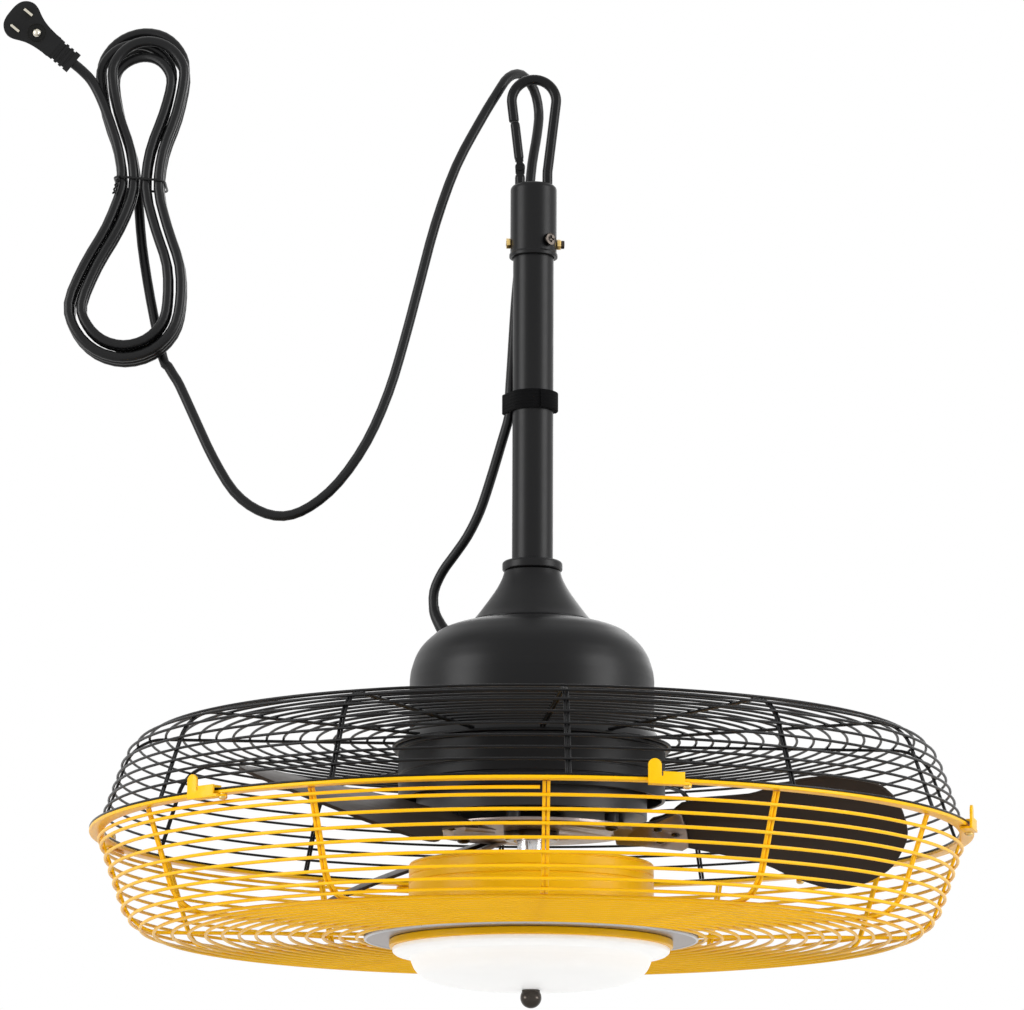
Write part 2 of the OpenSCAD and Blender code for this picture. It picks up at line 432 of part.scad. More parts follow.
module blade(k) color([0.2, 0.16, 0.15]) in_rim() arm_frame(k) difference() {
    intersection() {
        scale([blade_reach / 226.5, blade_reach / 226.5, 1]) translate([0, 0, -15]) linear_extrude(40) polygon(closed_curve(blade_plan, 3));
        translate([60, 0, blade_z - 900]) rotate([0, 90, 0]) difference() {
            cylinder(r = 900 + blade_t / 2, h = 180, $fn = 360);
            translate([0, 0, -1]) cylinder(r = 900 - blade_t / 2, h = 182, $fn = 360);
        }
    }
    for (s = rivet_pts) translate([s[0], s[1], -5]) cylinder(r = 1.6 + face_gap, h = 12);
}
module blade_1() { blade(0); }
module blade_2() { blade(1); }
module blade_3() { blade(2); }
module blade_screws() color([0.4, 0.3, 0.2]) in_rim() {
    at_hub_screws() difference() {
        union() {
            translate([0, 0, hub_z - 2 - face_gap]) cylinder(r = 3.9, h = 2);
            translate([0, 0, hub_z - 1]) cylinder(r = 2, h = 14.5 - hub_z);
        }
        for (a = [0, 90]) rotate([0, 0, a]) translate([-2.2, -0.5, hub_z - 3]) cube([4.4, 1, 2]);
    }
    for (k = [0:2]) arm_frame(k) for (s = rivet_pts) translate([s[0], s[1], 0]) union() {
        translate([0, 0, -arm_top - 0.8 - face_gap]) cylinder(r = 2.6, h = 0.8);
        translate([0, 0, -arm_top - 0.5]) cylinder(r = 1.6, h = arm_top + blade_z + blade_t / 2 + 0.5);
    }
}

// Cage

module rib(c, d, start, inner) {
    t = [c[0] + shoulder_r * cos(wall_a), 0, c[1] + shoulder_r * sin(wall_a)];
    s = (t[2] - start) / cos(wall_a);
    bar(t + s * [sin(wall_a), 0, -cos(wall_a)], t + 0.03 * [sin(wall_a), 0, -cos(wall_a)], d);
    translate([c[0], 0, c[1]]) xz_arc(shoulder_r, d, wall_a, 90);
    bar([inner, 0, c[1] + shoulder_r], [c[0] - 0.03, 0, c[1] + shoulder_r], d);
}
module ribs(c, d, start, inner, a0, gap) { for (k = [0:rib_count - 1]) rotate([0, 0, 270 + a0 + 360 / rib_count * k]) for (s = [-0.5, 0.5]) translate([0, s * gap, 0]) rib(c, d, start, inner); }
module upper_grille_plate() color([0.1, 0.1, 0.11]) in_rim() ring(shroud_r + 0.15, top_plate_r, upper_h - upper_wire / 2 - 2.2, upper_h - upper_wire / 2 - face_gap);
module upper_ribs() color([0.07, 0.07, 0.08]) in_rim() ribs(u_c, upper_wire, u_start, u_rib_in, u_rib_a, u_gap);
module upper_flat_hoops() color([0.07, 0.07, 0.08]) in_rim() for (r = u_flat) hoop(r, upper_h + u_off, upper_wire);
module upper_wall_hoops() color([0.07, 0.07, 0.08]) in_rim() {
    for (z = u_levels) let (p = wall_pt(u_c, u_off, z)) hoop(p[0], p[1], upper_wire);
    for (a = u_angles) let (p = arc_pt(u_c, u_off, a)) hoop(p[0], p[1], upper_wire);
}
module upper_rim() color([0.07, 0.07, 0.08]) in_rim() ring(rim_in, rim_r, 1.5, 2.7);
module lower_rim() color([0.95, 0.68, 0.08]) in_rim() difference() {
    ring(rim_in, rim_r, -0.6, 1.4);
    for (k = [0:5]) latch_frame(k) translate([piv_x, piv_y, -5]) cylinder(r = rivet_d / 2 + 0.03, h = 8);
}
module lower_wall_hoops() color([0.95, 0.68, 0.08]) in_rim() mirror([0, 0, 1]) {
    for (z = l_levels) let (p = wall_pt(l_c, l_off, z)) hoop(p[0], p[1], lower_wire);
    for (a = l_angles) let (p = arc_pt(l_c, l_off, a)) hoop(p[0], p[1], lower_wire);
    let (p = wall_pt(l_c, l_off, 4.6)) hoop(p[0], p[1], lower_wire, true);
}
module lower_flat_hoops() color([0.95, 0.68, 0.08]) in_rim() for (r = l_flat) hoop(r, -lower_h - l_off, lower_wire);
module lower_ribs() color([0.95, 0.68, 0.08]) in_rim() mirror([0, 0, 1]) ribs(l_c, lower_wire, l_start, l_rib_in, l_rib_a, rib_gap);
module lower_grille_plate() color([0.45, 0.41, 0.37]) in_rim() ring(64, low_plate_r, -lower_h - lower_wire / 2 - 2.2, -lower_h - lower_wire / 2 - face_gap);

// Latches

module latch_frame(k) { rotate([0, 0, 270 + latch_a + 60 * k]) children(); }
module latch(k) color([0.95, 0.68, 0.08]) in_rim() latch_frame(k) difference() {
    union() {
        translate([piv_x - pad_r, -13, -2.4]) cube([rim_r + 3 - piv_x + pad_r, 13 + piv_y, 1.4]);
        translate([piv_x, piv_y, -2.4]) cylinder(r = pad_r, h = 1.4);
        translate([rim_r + 1.7, -15, -2.4]) cube([1.4, 21, 4.4]);
        translate([rim_r + 1.7, finger_w - 14, -2.4]) cube([1.4, 20 - finger_w, 6.9]);
        translate([piv_x - pad_r, -3, 3.1]) cube([pad_r + rim_r + 3.1 - piv_x, 8, 1.4]);
        translate([rim_r + 1.7, -15, -2.4]) cube([1.4, finger_w, finger_h + 2.4 - finger_w / 2]);
        translate([rim_r + 1.7, -15 + finger_w / 2, finger_h - finger_w / 2]) rotate([0, 90, 0]) cylinder(d = finger_w, h = 1.4);
    }
    translate([piv_x, piv_y, -6]) cylinder(r = rivet_d / 2 + turn_gap, h = 6);
}
module latch_1() { latch(0); }
module latch_2() { latch(1); }
module latch_3() { latch(2); }
module latch_4() { latch(3); }
module latch_5() { latch(4); }
module latch_6() { latch(5); }
module latch_rivets() color([0.9, 0.65, 0.1]) in_rim() for (k = [0:5]) latch_frame(k) translate([piv_x, piv_y, 0]) union() {
    translate([0, 0, -4.2]) cylinder(r = 2.5, h = 1.7);
    translate([0, 0, -3.6]) cylinder(d = rivet_d, h = 4.9);
}

// Light

module shaft_nuts() color([0.72, 0.6, 0.3]) in_rim() for (z = [-5.2, -8.2]) translate([0, 0, drum_top + z]) difference() {
    linear_extrude(2.8) polygon([for (k = [0:5]) 12.6 * [cos(60 * k), sin(60 * k)]]);
    translate([0, 0, -1]) cylinder(r = shaft_r - 0.57, h = 6);
}
drum_r = drum_d / 2;
module light_drum() color([0.95, 0.68, 0.08]) in_rim() difference() {
    rotate_extrude() polygon([[shaft_r - 0.5, drum_top], [drum_r - 2.4, drum_top], [drum_r - 1.3, drum_top - 0.25], [drum_r - 0.4, drum_top - 0.9], [drum_r, drum_top - 1.7], [drum_r, -lower_h - 1], [drum_r - 2, -lower_h - 1],
        [drum_r - 2, drum_top - 3], [drum_r - 3, drum_top - 2.3], [shaft_r - 0.5, drum_top - 2.3]]);
    for (z = [2.3, 8.4, 12.9]) ring(drum_r - 0.5, drum_r + 3, drum_top - z - 0.4, drum_top - z + 0.4);
}
trim_z = -lower_h - lower_wire / 2 - 2.25;
module light_trim() color([0.95, 0.68, 0.08]) in_rim() rotate_extrude() polygon([[60, trim_z], [trim_d / 2 - 1, trim_z], [trim_d / 2, trim_z - 1], [trim_d / 2, trim_z - 4.5], [60, trim_z - 4.5]]);
module led_board() color([0.9, 0.9, 0.88]) in_rim() difference() {
    union() {
        translate([0, 0, trim_z - 6.6]) cylinder(r = 68, h = 2.05);
        translate([0, 0, trim_z - 18]) cylinder(r = 7, h = 12);
        for (k = [0:15]) rotate([0, 0, 22.5 * k]) for (r = [28, 48]) translate([r, -1.6, trim_z - 7.6]) cube([3.2, 3.2, 1.4]);
    }
    translate([0, 0, trim_z - 30]) cylinder(r = 3 + face_gap, h = 40);
}
dif = diffuser_d / 2;
dif_out = [[dif, 0], [dif, -2.6], [dif - 2, -4.2], [dif - 10.4, -5.4], [dif - 11.5, -9.1], [dif - 13.6, -13.3], [dif - 18, -17.3], [dif - 26, -20.4], [dif - 38, -22.7], [dif - 51, -24], [16, -24.6], [3.2, -24.8]];
dif_in = [[3.2, -23], [16, -22.8], [dif - 51.9, -22.3], [dif - 38.9, -21], [dif - 26.9, -18.7], [dif - 20, -16.4], [dif - 15.6, -12.4], [dif - 13.5, -8.2], [dif - 12.4, -3.4], [dif - 2.6, -2.4], [dif - 2, -1.9], [dif - 2, 0]];
module diffuser() color([0.97, 0.97, 0.95]) in_rim() translate([0, 0, trim_z - 4.5 - face_gap]) rotate_extrude() polygon(concat(dif_out, dif_in));
module finial() color([0.28, 0.22, 0.18]) in_rim() translate([0, 0, trim_z - 4.5 - 24.85 - face_gap]) union() {
    translate([0, 0, -1.2]) cylinder(r = 5.4, h = 1.2);
    translate([0, 0, -4.7]) difference() { sphere(d = finial_d); translate([-10, -10, 3.6]) cube(20); }
    translate([0, 0, -2]) cylinder(r = 3, h = 24);
}

// Cord

module cord_gland() color([0.1, 0.1, 0.11]) in_rim() translate(gland_p) rotate([0, gland_tilt, gland_az]) union() {
    translate([0, 0, -8]) cylinder(r = 4, h = 9);
    translate([0, 0, 0.1]) cylinder(r = 7.2, h = 3);
    translate([0, 0, 3]) cylinder(r1 = 5.8, r2 = 4.4, h = gland_len - 3);
}
module cord_lead() color([0.06, 0.06, 0.07]) in_rim() sweep(lead_curve, cord_d, 8);
module cord_tail() color([0.06, 0.06, 0.07]) in_rim() sweep(tail_curve, cord_d, 8);
module cord_hank() color([0.06, 0.06, 0.07]) in_rim() sweep(hank_route, cord_d, 6);
module twist_tie() color([0.05, 0.05, 0.06]) in_rim() translate([mid_x(waist_z), 3.5, waist_z - 1.6]) rotate([0, 14, 0]) union() {
    linear_extrude(1.6) difference() {
        translate([-18.2, -15.4]) square([36.4, 30.8]);
        translate([-17.2, -14.3]) square([34.4, 28.6]);
    }
    translate([-15.3, -15.9, -9]) rotate([0, 8, 0]) cylinder(d = 1.3, h = 11);
    translate([-13.4, -15.9, -11]) rotate([0, -6, 0]) cylinder(d = 1.3, h = 13);
}
module plug_frame() { translate(plug_pos) rotate([plug_tilt, 0, plug_yaw]) rotate([0, plug_turn, 0]) children(); }
module plug_body() color([0.07, 0.07, 0.08]) in_rim() plug_frame() difference() {
    union() {
        translate([0, 8, 0]) rotate([90, 0, 0]) linear_extrude(16) polygon(closed_curve(plug_plan, 3));
        translate([20, -5, -6.9]) cube([plug_len - 20, 10, 13.8]);
    }
    for (x = [29, 32.6, 36.2]) translate([x, 0, 0]) difference() { translate([0, -8, -10]) cube([1.6, 16, 20]); translate([-1, -4.2, -6]) cube([4, 8.4, 12]); }
    for (s = [-1, 1]) translate([-3.2, -9, s * 6.35 - 0.78]) cube([6.4, 5.03, 1.56]);
    translate([11.9, -3.97, 0]) rotate([90, 0, 0]) cylinder(r = shank_r + 0.03, h = 6);
    translate([11.9, -6.4, 0]) rotate([90, 0, 0]) cylinder(r = 5.5, h = 3);
}
module plug_prongs() color([0.75, 0.72, 0.62]) in_rim() plug_frame() {
    for (s = [-1, 1]) translate([-3.17, -24, s * 6.35 - 0.75]) cube([6.34, 20, 1.5]);
    translate([11.9, 0, 0]) rotate([90, 0, 0]) union() {
        translate([0, 0, 4]) cylinder(r = shank_r, h = 4.2);
        translate([0, 0, 8.1]) cylinder(r = 2.4, h = 18.5);
        translate([0, 0, 26.6]) sphere(r = 2.4);
    }
}

snap_hook();
gate_pin();
hook_gate();
hanger_coupling();
hanger_pin();
coupling_screws();
coupling_nuts();
downrod();
cord_strap();
rod_collar();
bell_canopy();
motor_dome();
motor_shroud();
control_board();
stator_core();
stator_windings();
hollow_shaft();
upper_bearing();
lower_bearing();
rotor_shell();
rotor_cover();
magnets();
hub_plate();
hub_cap();
blade_1();
blade_2();
blade_3();
blade_screws();
upper_grille_plate();
upper_ribs();
upper_flat_hoops();
upper_wall_hoops();
upper_rim();
lower_rim();
lower_wall_hoops();
lower_flat_hoops();
lower_ribs();
lower_grille_plate();
latch_rivets();
latch_1();
latch_2();
latch_3();
latch_4();
latch_5();
latch_6();
shaft_nuts();
light_drum();
light_trim();
led_board();
diffuser();
finial();
cord_gland();
cord_lead();
cord_hank();
cord_tail();
twist_tie();
plug_body();
plug_prongs();
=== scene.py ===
# %% [markdown]
# A caged ceiling fan with a light, hung by a snap hook, is dressed here for its picture.
# The engineering model already has every solid at its real size. It could be
# rebuilt from nothing, but then each piece would have to be fitted again, so the
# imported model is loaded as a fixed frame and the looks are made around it.

# %% Load the frame
import json
import math

import bpy
from mathutils import Matrix, Vector


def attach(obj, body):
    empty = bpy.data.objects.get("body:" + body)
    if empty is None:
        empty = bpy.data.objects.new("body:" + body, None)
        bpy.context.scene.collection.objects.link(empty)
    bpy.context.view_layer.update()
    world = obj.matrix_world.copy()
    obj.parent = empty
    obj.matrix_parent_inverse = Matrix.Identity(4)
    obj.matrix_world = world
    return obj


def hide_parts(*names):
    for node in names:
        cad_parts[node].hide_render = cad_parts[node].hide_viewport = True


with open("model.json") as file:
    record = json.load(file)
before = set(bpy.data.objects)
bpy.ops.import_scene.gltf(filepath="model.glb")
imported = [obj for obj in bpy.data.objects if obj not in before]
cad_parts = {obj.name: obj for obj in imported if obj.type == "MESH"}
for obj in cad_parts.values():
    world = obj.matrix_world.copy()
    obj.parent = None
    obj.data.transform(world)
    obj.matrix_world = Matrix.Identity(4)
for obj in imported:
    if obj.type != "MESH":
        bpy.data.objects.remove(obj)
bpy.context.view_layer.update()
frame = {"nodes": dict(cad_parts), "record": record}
nodes = frame["nodes"]
print("nodes in the frame:", len(nodes))

MM = 0.001
RIM_Z = -470.0  # the plane between the rims, in millimetres from the hang point

# %% [markdown]
# The photograph is taken from far away and from below, so that the bowl of the lamp
# and the underside of the hub show. The camera could look level and be shifted,
# but a pitched camera fits the rims, the tube and the hook at once.

# %% Camera
CAMERA_DISTANCE = 2800 * MM
CAMERA_BELOW_RIMS = 352.7
CAMERA_PITCH = 11.245
PICTURE = (1024, 1010)
FOCAL_PIXELS = 4683.0
AXIS_RIGHT_OF_CENTRE = 21.0
CAMERA_ROLL = 0.25  # degrees: the fan hangs very slightly out of true in the picture

bpy.ops.object.camera_add()
camera = bpy.context.object
camera.name = "photograph_camera"
camera.location = (0, -CAMERA_DISTANCE, (RIM_Z - CAMERA_BELOW_RIMS) * MM)
turn = math.atan(AXIS_RIGHT_OF_CENTRE / FOCAL_PIXELS)
camera.rotation_euler = (Matrix.Rotation(turn, 3, "Z")
                         @ Matrix.Rotation(math.radians(90 + CAMERA_PITCH), 3, "X")
                         @ Matrix.Rotation(math.radians(CAMERA_ROLL), 3, "Z")).to_euler()
camera.data.sensor_width = 36.0
camera.data.lens = 36.0 * FOCAL_PIXELS / PICTURE[0]
camera.data.clip_end = 50
bpy.context.scene.camera = camera
bpy.context.scene.view_settings.view_transform = "Standard"
print("lens:", round(camera.data.lens, 1), "mm")

# %% [markdown]
# The mains cord is one length of round black cable. It leaves the motor dome, climbs
# the tube, goes over the hook, sags across to a tied hank and ends in its plug. A cord
# could be laid by simulation, but this one is held at so many places that a smooth
# curve through measured points is closer to the real one.

# %% Points of the free stretches, in millimetres from the rim plane
CORD = 6.2
END_RUN = 6.5  # straight run of cord at the gland, at the plug and where it leaves the hank
GLAND_TILT, GLAND_AZIMUTH, GLAND_LENGTH = math.radians(37.7), math.radians(142), 13.05
gland_way = Vector((math.sin(GLAND_TILT) * math.cos(GLAND_AZIMUTH),
                    math.sin(GLAND_TILT) * math.sin(GLAND_AZIMUTH), math.cos(GLAND_TILT)))
gland_seat = Vector((60 * math.cos(GLAND_AZIMUTH), 60 * math.sin(GLAND_AZIMUTH), 121.92))
gland_tip = gland_seat + GLAND_LENGTH * gland_way
LEAD = [
    (-60.4, 46.6, 146.5), (-60.6, 45.4, 158.5), (-55.5, 42, 170), (-48, 38, 180),
    (-40, 33.5, 191), (-32.5, 28.5, 205.5), (-26.3, 22.3, 223), (-19.5, 13.8, 244.5),
    (-14.4, 7.1, 262), (-14.2, 7, 275), (-13, 9.6, 296), (-11.8, 12, 318),
    (-10.6, 14.6, 338), (-9, 17.2, 356), (-6, 18.8, 380), (-3, 20.5, 404),
    (-1, 24, 426), (2, 31.5, 447), (3, 36.8, 463), (-0.2, 33.4, 476.8),
    (-8, 22.2, 483), (-16, 11.5, 478), (-23, 6, 466), (-33, 3.5, 448),
    (-48, 2, 418), (-60.5, 1, 381), (-70, 0, 343), (-79, 0, 307),
    (-88.5, 0, 274), (-101.5, 1, 243.5), (-118.5, 3, 218.5), (-136, 5, 203.5),
    (-152, 7, 198), (-168, 9, 202), (-183, 11, 214), (-196, 12.5, 235),
    (-206.5, 13.4, 257), (-217.4, 14, 280.6), (-221.6, 14, 287.6)]
HANK_EXIT = Vector((-225, 14, 293.2))
PLUG_SEAT, PLUG_LENGTH = Vector((-316.33, -24, 503.27)), 41.45
PLUG_TURN, PLUG_TILT, PLUG_YAW = (math.radians(a) for a in (38.2, 17.1, 6.2))
plug_turned = (Matrix.Rotation(PLUG_YAW, 3, "Z") @ Matrix.Rotation(PLUG_TILT, 3, "X")
               @ Matrix.Rotation(PLUG_TURN, 3, "Y"))
plug_way = plug_turned @ Vector((1, 0, 0))
TAIL = [(-273.9, -9.9, 468.8), (-268, -9.7, 458), (-262.3, -10, 443.5), (-257, -9.5, 427.5),
        (-254.4, -7, 414)]

# %% [markdown]
# The hank has six loops that are drawn in at the waist by a thin tie. Each run gets its
# own half width and layer, so the turns lie beside each other without touching.

# %% Route through the hank
WAIST, TOP, BOTTOM = 407.0, 473.0, 328.0
HANK_X, HANK_LEAN = -243, 8
TOP_FLARE, BOTTOM_FLARE, LAYER = 14.7, 22.7, 7.0
HALF_WIDTH = [11.4, 11.4, 3.6, 3.6, 3.6, 3.6, 11.4, 11.4, 11.4, 11.4, 3.6]
LAYERS = [0, 0, 0, 0, 1, 1, 1, 1, 2, 2, 3]
FOLD_UP = {3: -5.0, 7: 5.0}


def mid_x(z):
    """Middle of the hank, which swings a little to the left below its waist."""
    return HANK_X - (HANK_LEAN * min((WAIST - z) / (WAIST - BOTTOM), 1) ** 2 if z < WAIST else 0)


def flare(z):
    if z > WAIST:
        return TOP_FLARE * (1 - math.cos(math.pi * min((z - WAIST) / (TOP - WAIST), 1))) / 2
    return BOTTOM_FLARE * (1 - math.cos(math.pi * min((WAIST - z) / (WAIST - BOTTOM), 1))) / 2


def layer_y(run):
    return (LAYERS[run] - 1) * LAYER


def ease(t):
    t = min(max(t, 0), 1)
    return t * t * (3 - 2 * t)


def run_point(run, z):
    side = -1 if run % 2 == 0 else 1
    return Vector((mid_x(z) + side * (HALF_WIDTH[run] + flare(z)), layer_y(run), z))


def low_fold(run):
    radius = HALF_WIDTH[run] + BOTTOM_FLARE
    return [Vector((mid_x(BOTTOM) - radius * math.cos(a), layer_y(run),
                    BOTTOM - radius * math.sin(a)))
            for a in (math.radians(q) for q in range(0, 181, 30))]


def top_fold(run):
    a, b = HALF_WIDTH[run], HALF_WIDTH[run + 1]
    radius, middle = (a + b) / 2 + TOP_FLARE, (a - b) / 2
    return [Vector((mid_x(TOP) + middle + radius * math.cos(math.radians(q)),
                    layer_y(run) + (layer_y(run + 1) - layer_y(run)) * ease((q - 25) / 100),
                    TOP + FOLD_UP.get(run, 0) + radius * math.sin(math.radians(q))))
            for q in range(0, 181, 30)]


side_levels = [BOTTOM + (TOP - BOTTOM) * k / 6 for k in range(1, 6)]
hank_start = Vector((mid_x(WAIST) - HALF_WIDTH[0], layer_y(0), WAIST))
hank = [hank_start, hank_start - Vector((0, 0, 7)),
        run_point(0, side_levels[1]), run_point(0, side_levels[0])]
for run in range(0, 9, 2):
    hank += low_fold(run) + [run_point(run + 1, z) for z in side_levels] + top_fold(run + 1)
    if run < 8:
        hank += [run_point(run + 2, z) for z in reversed(side_levels)]
hank += [run_point(10, side_levels[4]), run_point(10, side_levels[3]),
         Vector((-245.5, 14, 400)), Vector((-242.5, 14, 370)), Vector((-236.5, 14, 335)),
         HANK_EXIT - END_RUN * Vector((0.518, 0, -0.855)), HANK_EXIT]
print("points in the hank:", len(hank))

# %% [markdown]
# The cord and every bent wire are one open curve with a round section, turned into a
# mesh, so that their bends stay smooth. Operators act on all that is selected, and the
# solids are selected once the frame is loaded, so one object is always picked first.

# %% Smooth curves and round wires


def only(thing):
    """Pick one object and nothing else."""
    bpy.ops.object.select_all(action="DESELECT")
    thing.select_set(True)
    bpy.context.view_layer.objects.active = thing


def between(p0, p1, p2, p3, t):
    """The point at share t of the way from p1 to p2, on a curve through all four."""
    return 0.5 * (2 * p1 + (p2 - p0) * t + (2 * p0 - 5 * p1 + 4 * p2 - p3) * t * t
                  + (3 * p1 - p0 - 3 * p2 + p3) * t ** 3)


def smooth_through(points, parts):
    """Points on a curve that passes through all the given ones."""
    out, last = [], len(points) - 1
    for i in range(last):
        p0, p1, p2, p3 = (points[max(i - 1, 0)], points[i], points[i + 1],
                          points[min(i + 2, last)])
        out += [between(p0, p1, p2, p3, j / parts) for j in range(parts)]
    return out + [points[last]]


def rim_frame(points):
    """Millimetres from the rim plane to metres from the hang point."""
    return [Vector((p[0] * MM, p[1] * MM, (p[2] + RIM_Z) * MM)) for p in points]


def bent_wire(points, diameter, widths=None, name="bent_wire", roundness=5):
    """A round wire along points in millimetres from the rim plane, as a mesh."""
    path = bpy.data.curves.new(name, "CURVE")
    path.dimensions = "3D"
    path.bevel_depth = diameter * MM / 2
    path.bevel_resolution = roundness
    path.use_fill_caps = True
    line = path.splines.new("POLY")
    line.points.add(len(points) - 1)
    for i, place in enumerate(rim_frame(points)):
        line.points[i].co = (*place, 1)
        line.points[i].radius = widths[i] if widths else 1
    wire = bpy.data.objects.new(name, path)
    bpy.context.collection.objects.link(wire)
    only(wire)
    bpy.ops.object.convert(target="MESH")
    return bpy.context.object


# %% [markdown]
# The whole cord is one curve: the lead from the gland, the hank from its last turn to
# its first, and the tail to the plug. Its ends run straight out of the gland and into
# the plug's sleeve.

# %% Mains cord
lead = [gland_tip, gland_tip + END_RUN * gland_way] + [Vector(p) for p in LEAD]
tail = [Vector(p) for p in reversed(TAIL)] + [
    PLUG_SEAT + (PLUG_LENGTH + END_RUN) * plug_way, PLUG_SEAT + PLUG_LENGTH * plug_way]
cord_line = smooth_through(lead + list(reversed(hank)) + tail, 3)
route = rim_frame(cord_line)

mains_cord = bent_wire(cord_line, CORD, name="mains_cord", roundness=6)
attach(mains_cord, "hanging_frame")
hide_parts("cord_lead", "cord_hank", "cord_tail")

# %% [markdown]
# Every look here is a small sum of values: a grain that feeds the bump, a slower one
# that feeds colour and gloss, and the kind of ray in the studio. Nodes could be placed
# one at a time, but the sums are easier to read as Python, so one class stands for a
# value, and another adds the nodes of a tree.

# %% Values and node trees


class Reading:
    """A value that is worked out over a surface."""

    def __init__(self, tree, socket):
        self.tree, self.socket = tree, socket

    def work(self, operation, first, second):
        node = self.tree.nodes.new("ShaderNodeMath")
        node.operation = operation
        for socket, value in zip(node.inputs, (first, second)):
            if isinstance(value, Reading):
                self.tree.links.new(value.socket, socket)
            else:
                socket.default_value = value
        return Reading(self.tree, node.outputs[0])

    def __add__(self, other):
        return self.work("ADD", self, other)

    def __mul__(self, other):
        return self.work("MULTIPLY", self, other)

    def highest(self, other):
        return self.work("MAXIMUM", self, other)


class NodeTree:
    """The nodes of a material or of the world."""

    def __init__(self, owner, empty=False):
        owner.use_nodes = True
        self.tree = owner.node_tree
        if empty:
            self.tree.nodes.clear()

    def put(self, socket, value):
        if isinstance(value, Reading):
            self.tree.links.new(value.socket, socket)
        else:
            socket.default_value = value

    def node(self, kind, settings=None, sockets=None, output=0):
        made = self.tree.nodes.new(kind)
        for key, value in (settings or {}).items():
            setattr(made, key, value)
        for key, value in (sockets or {}).items():
            self.put(made.inputs[key], value)
        return Reading(self.tree, made.outputs[output])

    def mix(self, share, first, second):
        return self.node("ShaderNodeMixShader", {}, {0: share, 1: first, 2: second})

    def end_in(self, kind, shader):
        self.put(self.tree.nodes.new(kind).inputs["Surface"], shader)

    def for_eyes(self):
        """1 for camera, mirror and glass rays, and 0 for light that bounces about."""
        camera_ray, mirror_ray, glass_ray = (
            self.node("ShaderNodeLightPath", output=f"Is {ray} Ray")
            for ray in ("Camera", "Glossy", "Transmission"))
        return camera_ray.highest(mirror_ray).highest(glass_ray)


# %% [markdown]
# The studio is a pale room with a large soft lamp on each side and one from the
# camera's side, which the polished parts don't show. The white behind the fan is a
# colour that only the camera, mirrors and glass see, so it adds no light to the fan.

# %% Background
WHITE = (1, 1, 1, 1)
FILL_LIGHT = 0.33
world = bpy.data.worlds.new("pale_room")
bpy.context.scene.world = world
room = NodeTree(world, empty=True)
fill = room.node("ShaderNodeBackground", {}, {"Color": WHITE, "Strength": FILL_LIGHT})
seen = room.node("ShaderNodeBackground", {}, {"Color": WHITE, "Strength": 1.0})
room.end_in("ShaderNodeOutputWorld", room.mix(room.for_eyes(), fill, seen))
print("background nodes:", len(room.tree.nodes))

# %% [markdown]
# The floor takes the shadow near the fan and fades into the white further out, so no
# horizon shows. From below it lets the eye through, because a lamp like this is
# mostly looked at from there.

# %% Floor that fades into the white
FLOOR_Z, FLOOR_SIZE = -1.1, 12
FADE_START, FADE_END = 0.45, 1.5
bpy.ops.mesh.primitive_plane_add(size=FLOOR_SIZE, location=(0, 0, FLOOR_Z))
floor = bpy.context.object
floor.name = "studio_floor"
pale = bpy.data.materials.new("pale_floor")
floor.data.materials.append(pale)

paint = NodeTree(pale, empty=True)
matte = paint.node("ShaderNodeBsdfPrincipled", {}, {
    "Base Color": (0.8, 0.8, 0.8, 1), "Roughness": 0.9, "Specular IOR Level": 0.0})
here = paint.node("ShaderNodeTexCoord", output="Object")
away = paint.node("ShaderNodeVectorMath", {"operation": "LENGTH"}, {0: here}, "Value")
fade = paint.node("ShaderNodeMapRange", {}, {
    "Value": away, "From Min": FADE_START, "From Max": FADE_END}, "Result")
top_side = paint.mix(fade * paint.for_eyes(), matte, paint.node("ShaderNodeEmission"))
from_below = paint.node("ShaderNodeNewGeometry", output="Backfacing")
clear = paint.node("ShaderNodeBsdfTransparent")
paint.end_in("ShaderNodeOutputMaterial", paint.mix(from_below, top_side, clear))
print("floor at", FLOOR_Z, "m")

# %% [markdown]
# A tall soft lamp stands on each side, turned far enough round that its light runs down
# the edges of the tube and the dome. A weaker one lights the rims from behind.

# %% Lamps
MIDDLE_OF_FAN = Vector((0, 0, -0.35))


def soft_lamp(name, place, size, power, in_gloss=True):
    """A rectangular lamp at a place in metres, aimed at the middle of the fan."""
    bpy.ops.object.light_add(type="AREA", location=place)
    lamp = bpy.context.object
    lamp.name = name
    lamp.data.shape = "RECTANGLE"
    lamp.data.size, lamp.data.size_y = size
    lamp.data.energy = power
    lamp.visible_glossy = in_gloss
    lamp.rotation_euler = (MIDDLE_OF_FAN - Vector(place)).to_track_quat("-Z", "Y").to_euler()
    print(name, power, "W")


soft_lamp("left_softbox", (-2.1, -0.85, 0.1), (1.2, 1.8), 34)
soft_lamp("right_softbox", (2.1, -0.75, 0.1), (1.2, 1.8), 34)
soft_lamp("front_fill", (0.1, -2.4, 0.5), (1.6, 0.8), 24, in_gloss=False)
soft_lamp("back_softbox", (0.4, 2.2, 0.7), (1.8, 1.2), 9)

# %% [markdown]
# A finish starts as a plain coat with one colour and one gloss. Nothing real is that
# even, so the colour drifts, the gloss varies, and a fine relief breaks the highlights.
# Each of these is a pattern in the piece's own coordinates, in millimetres.

# %% Finishes and their patterns


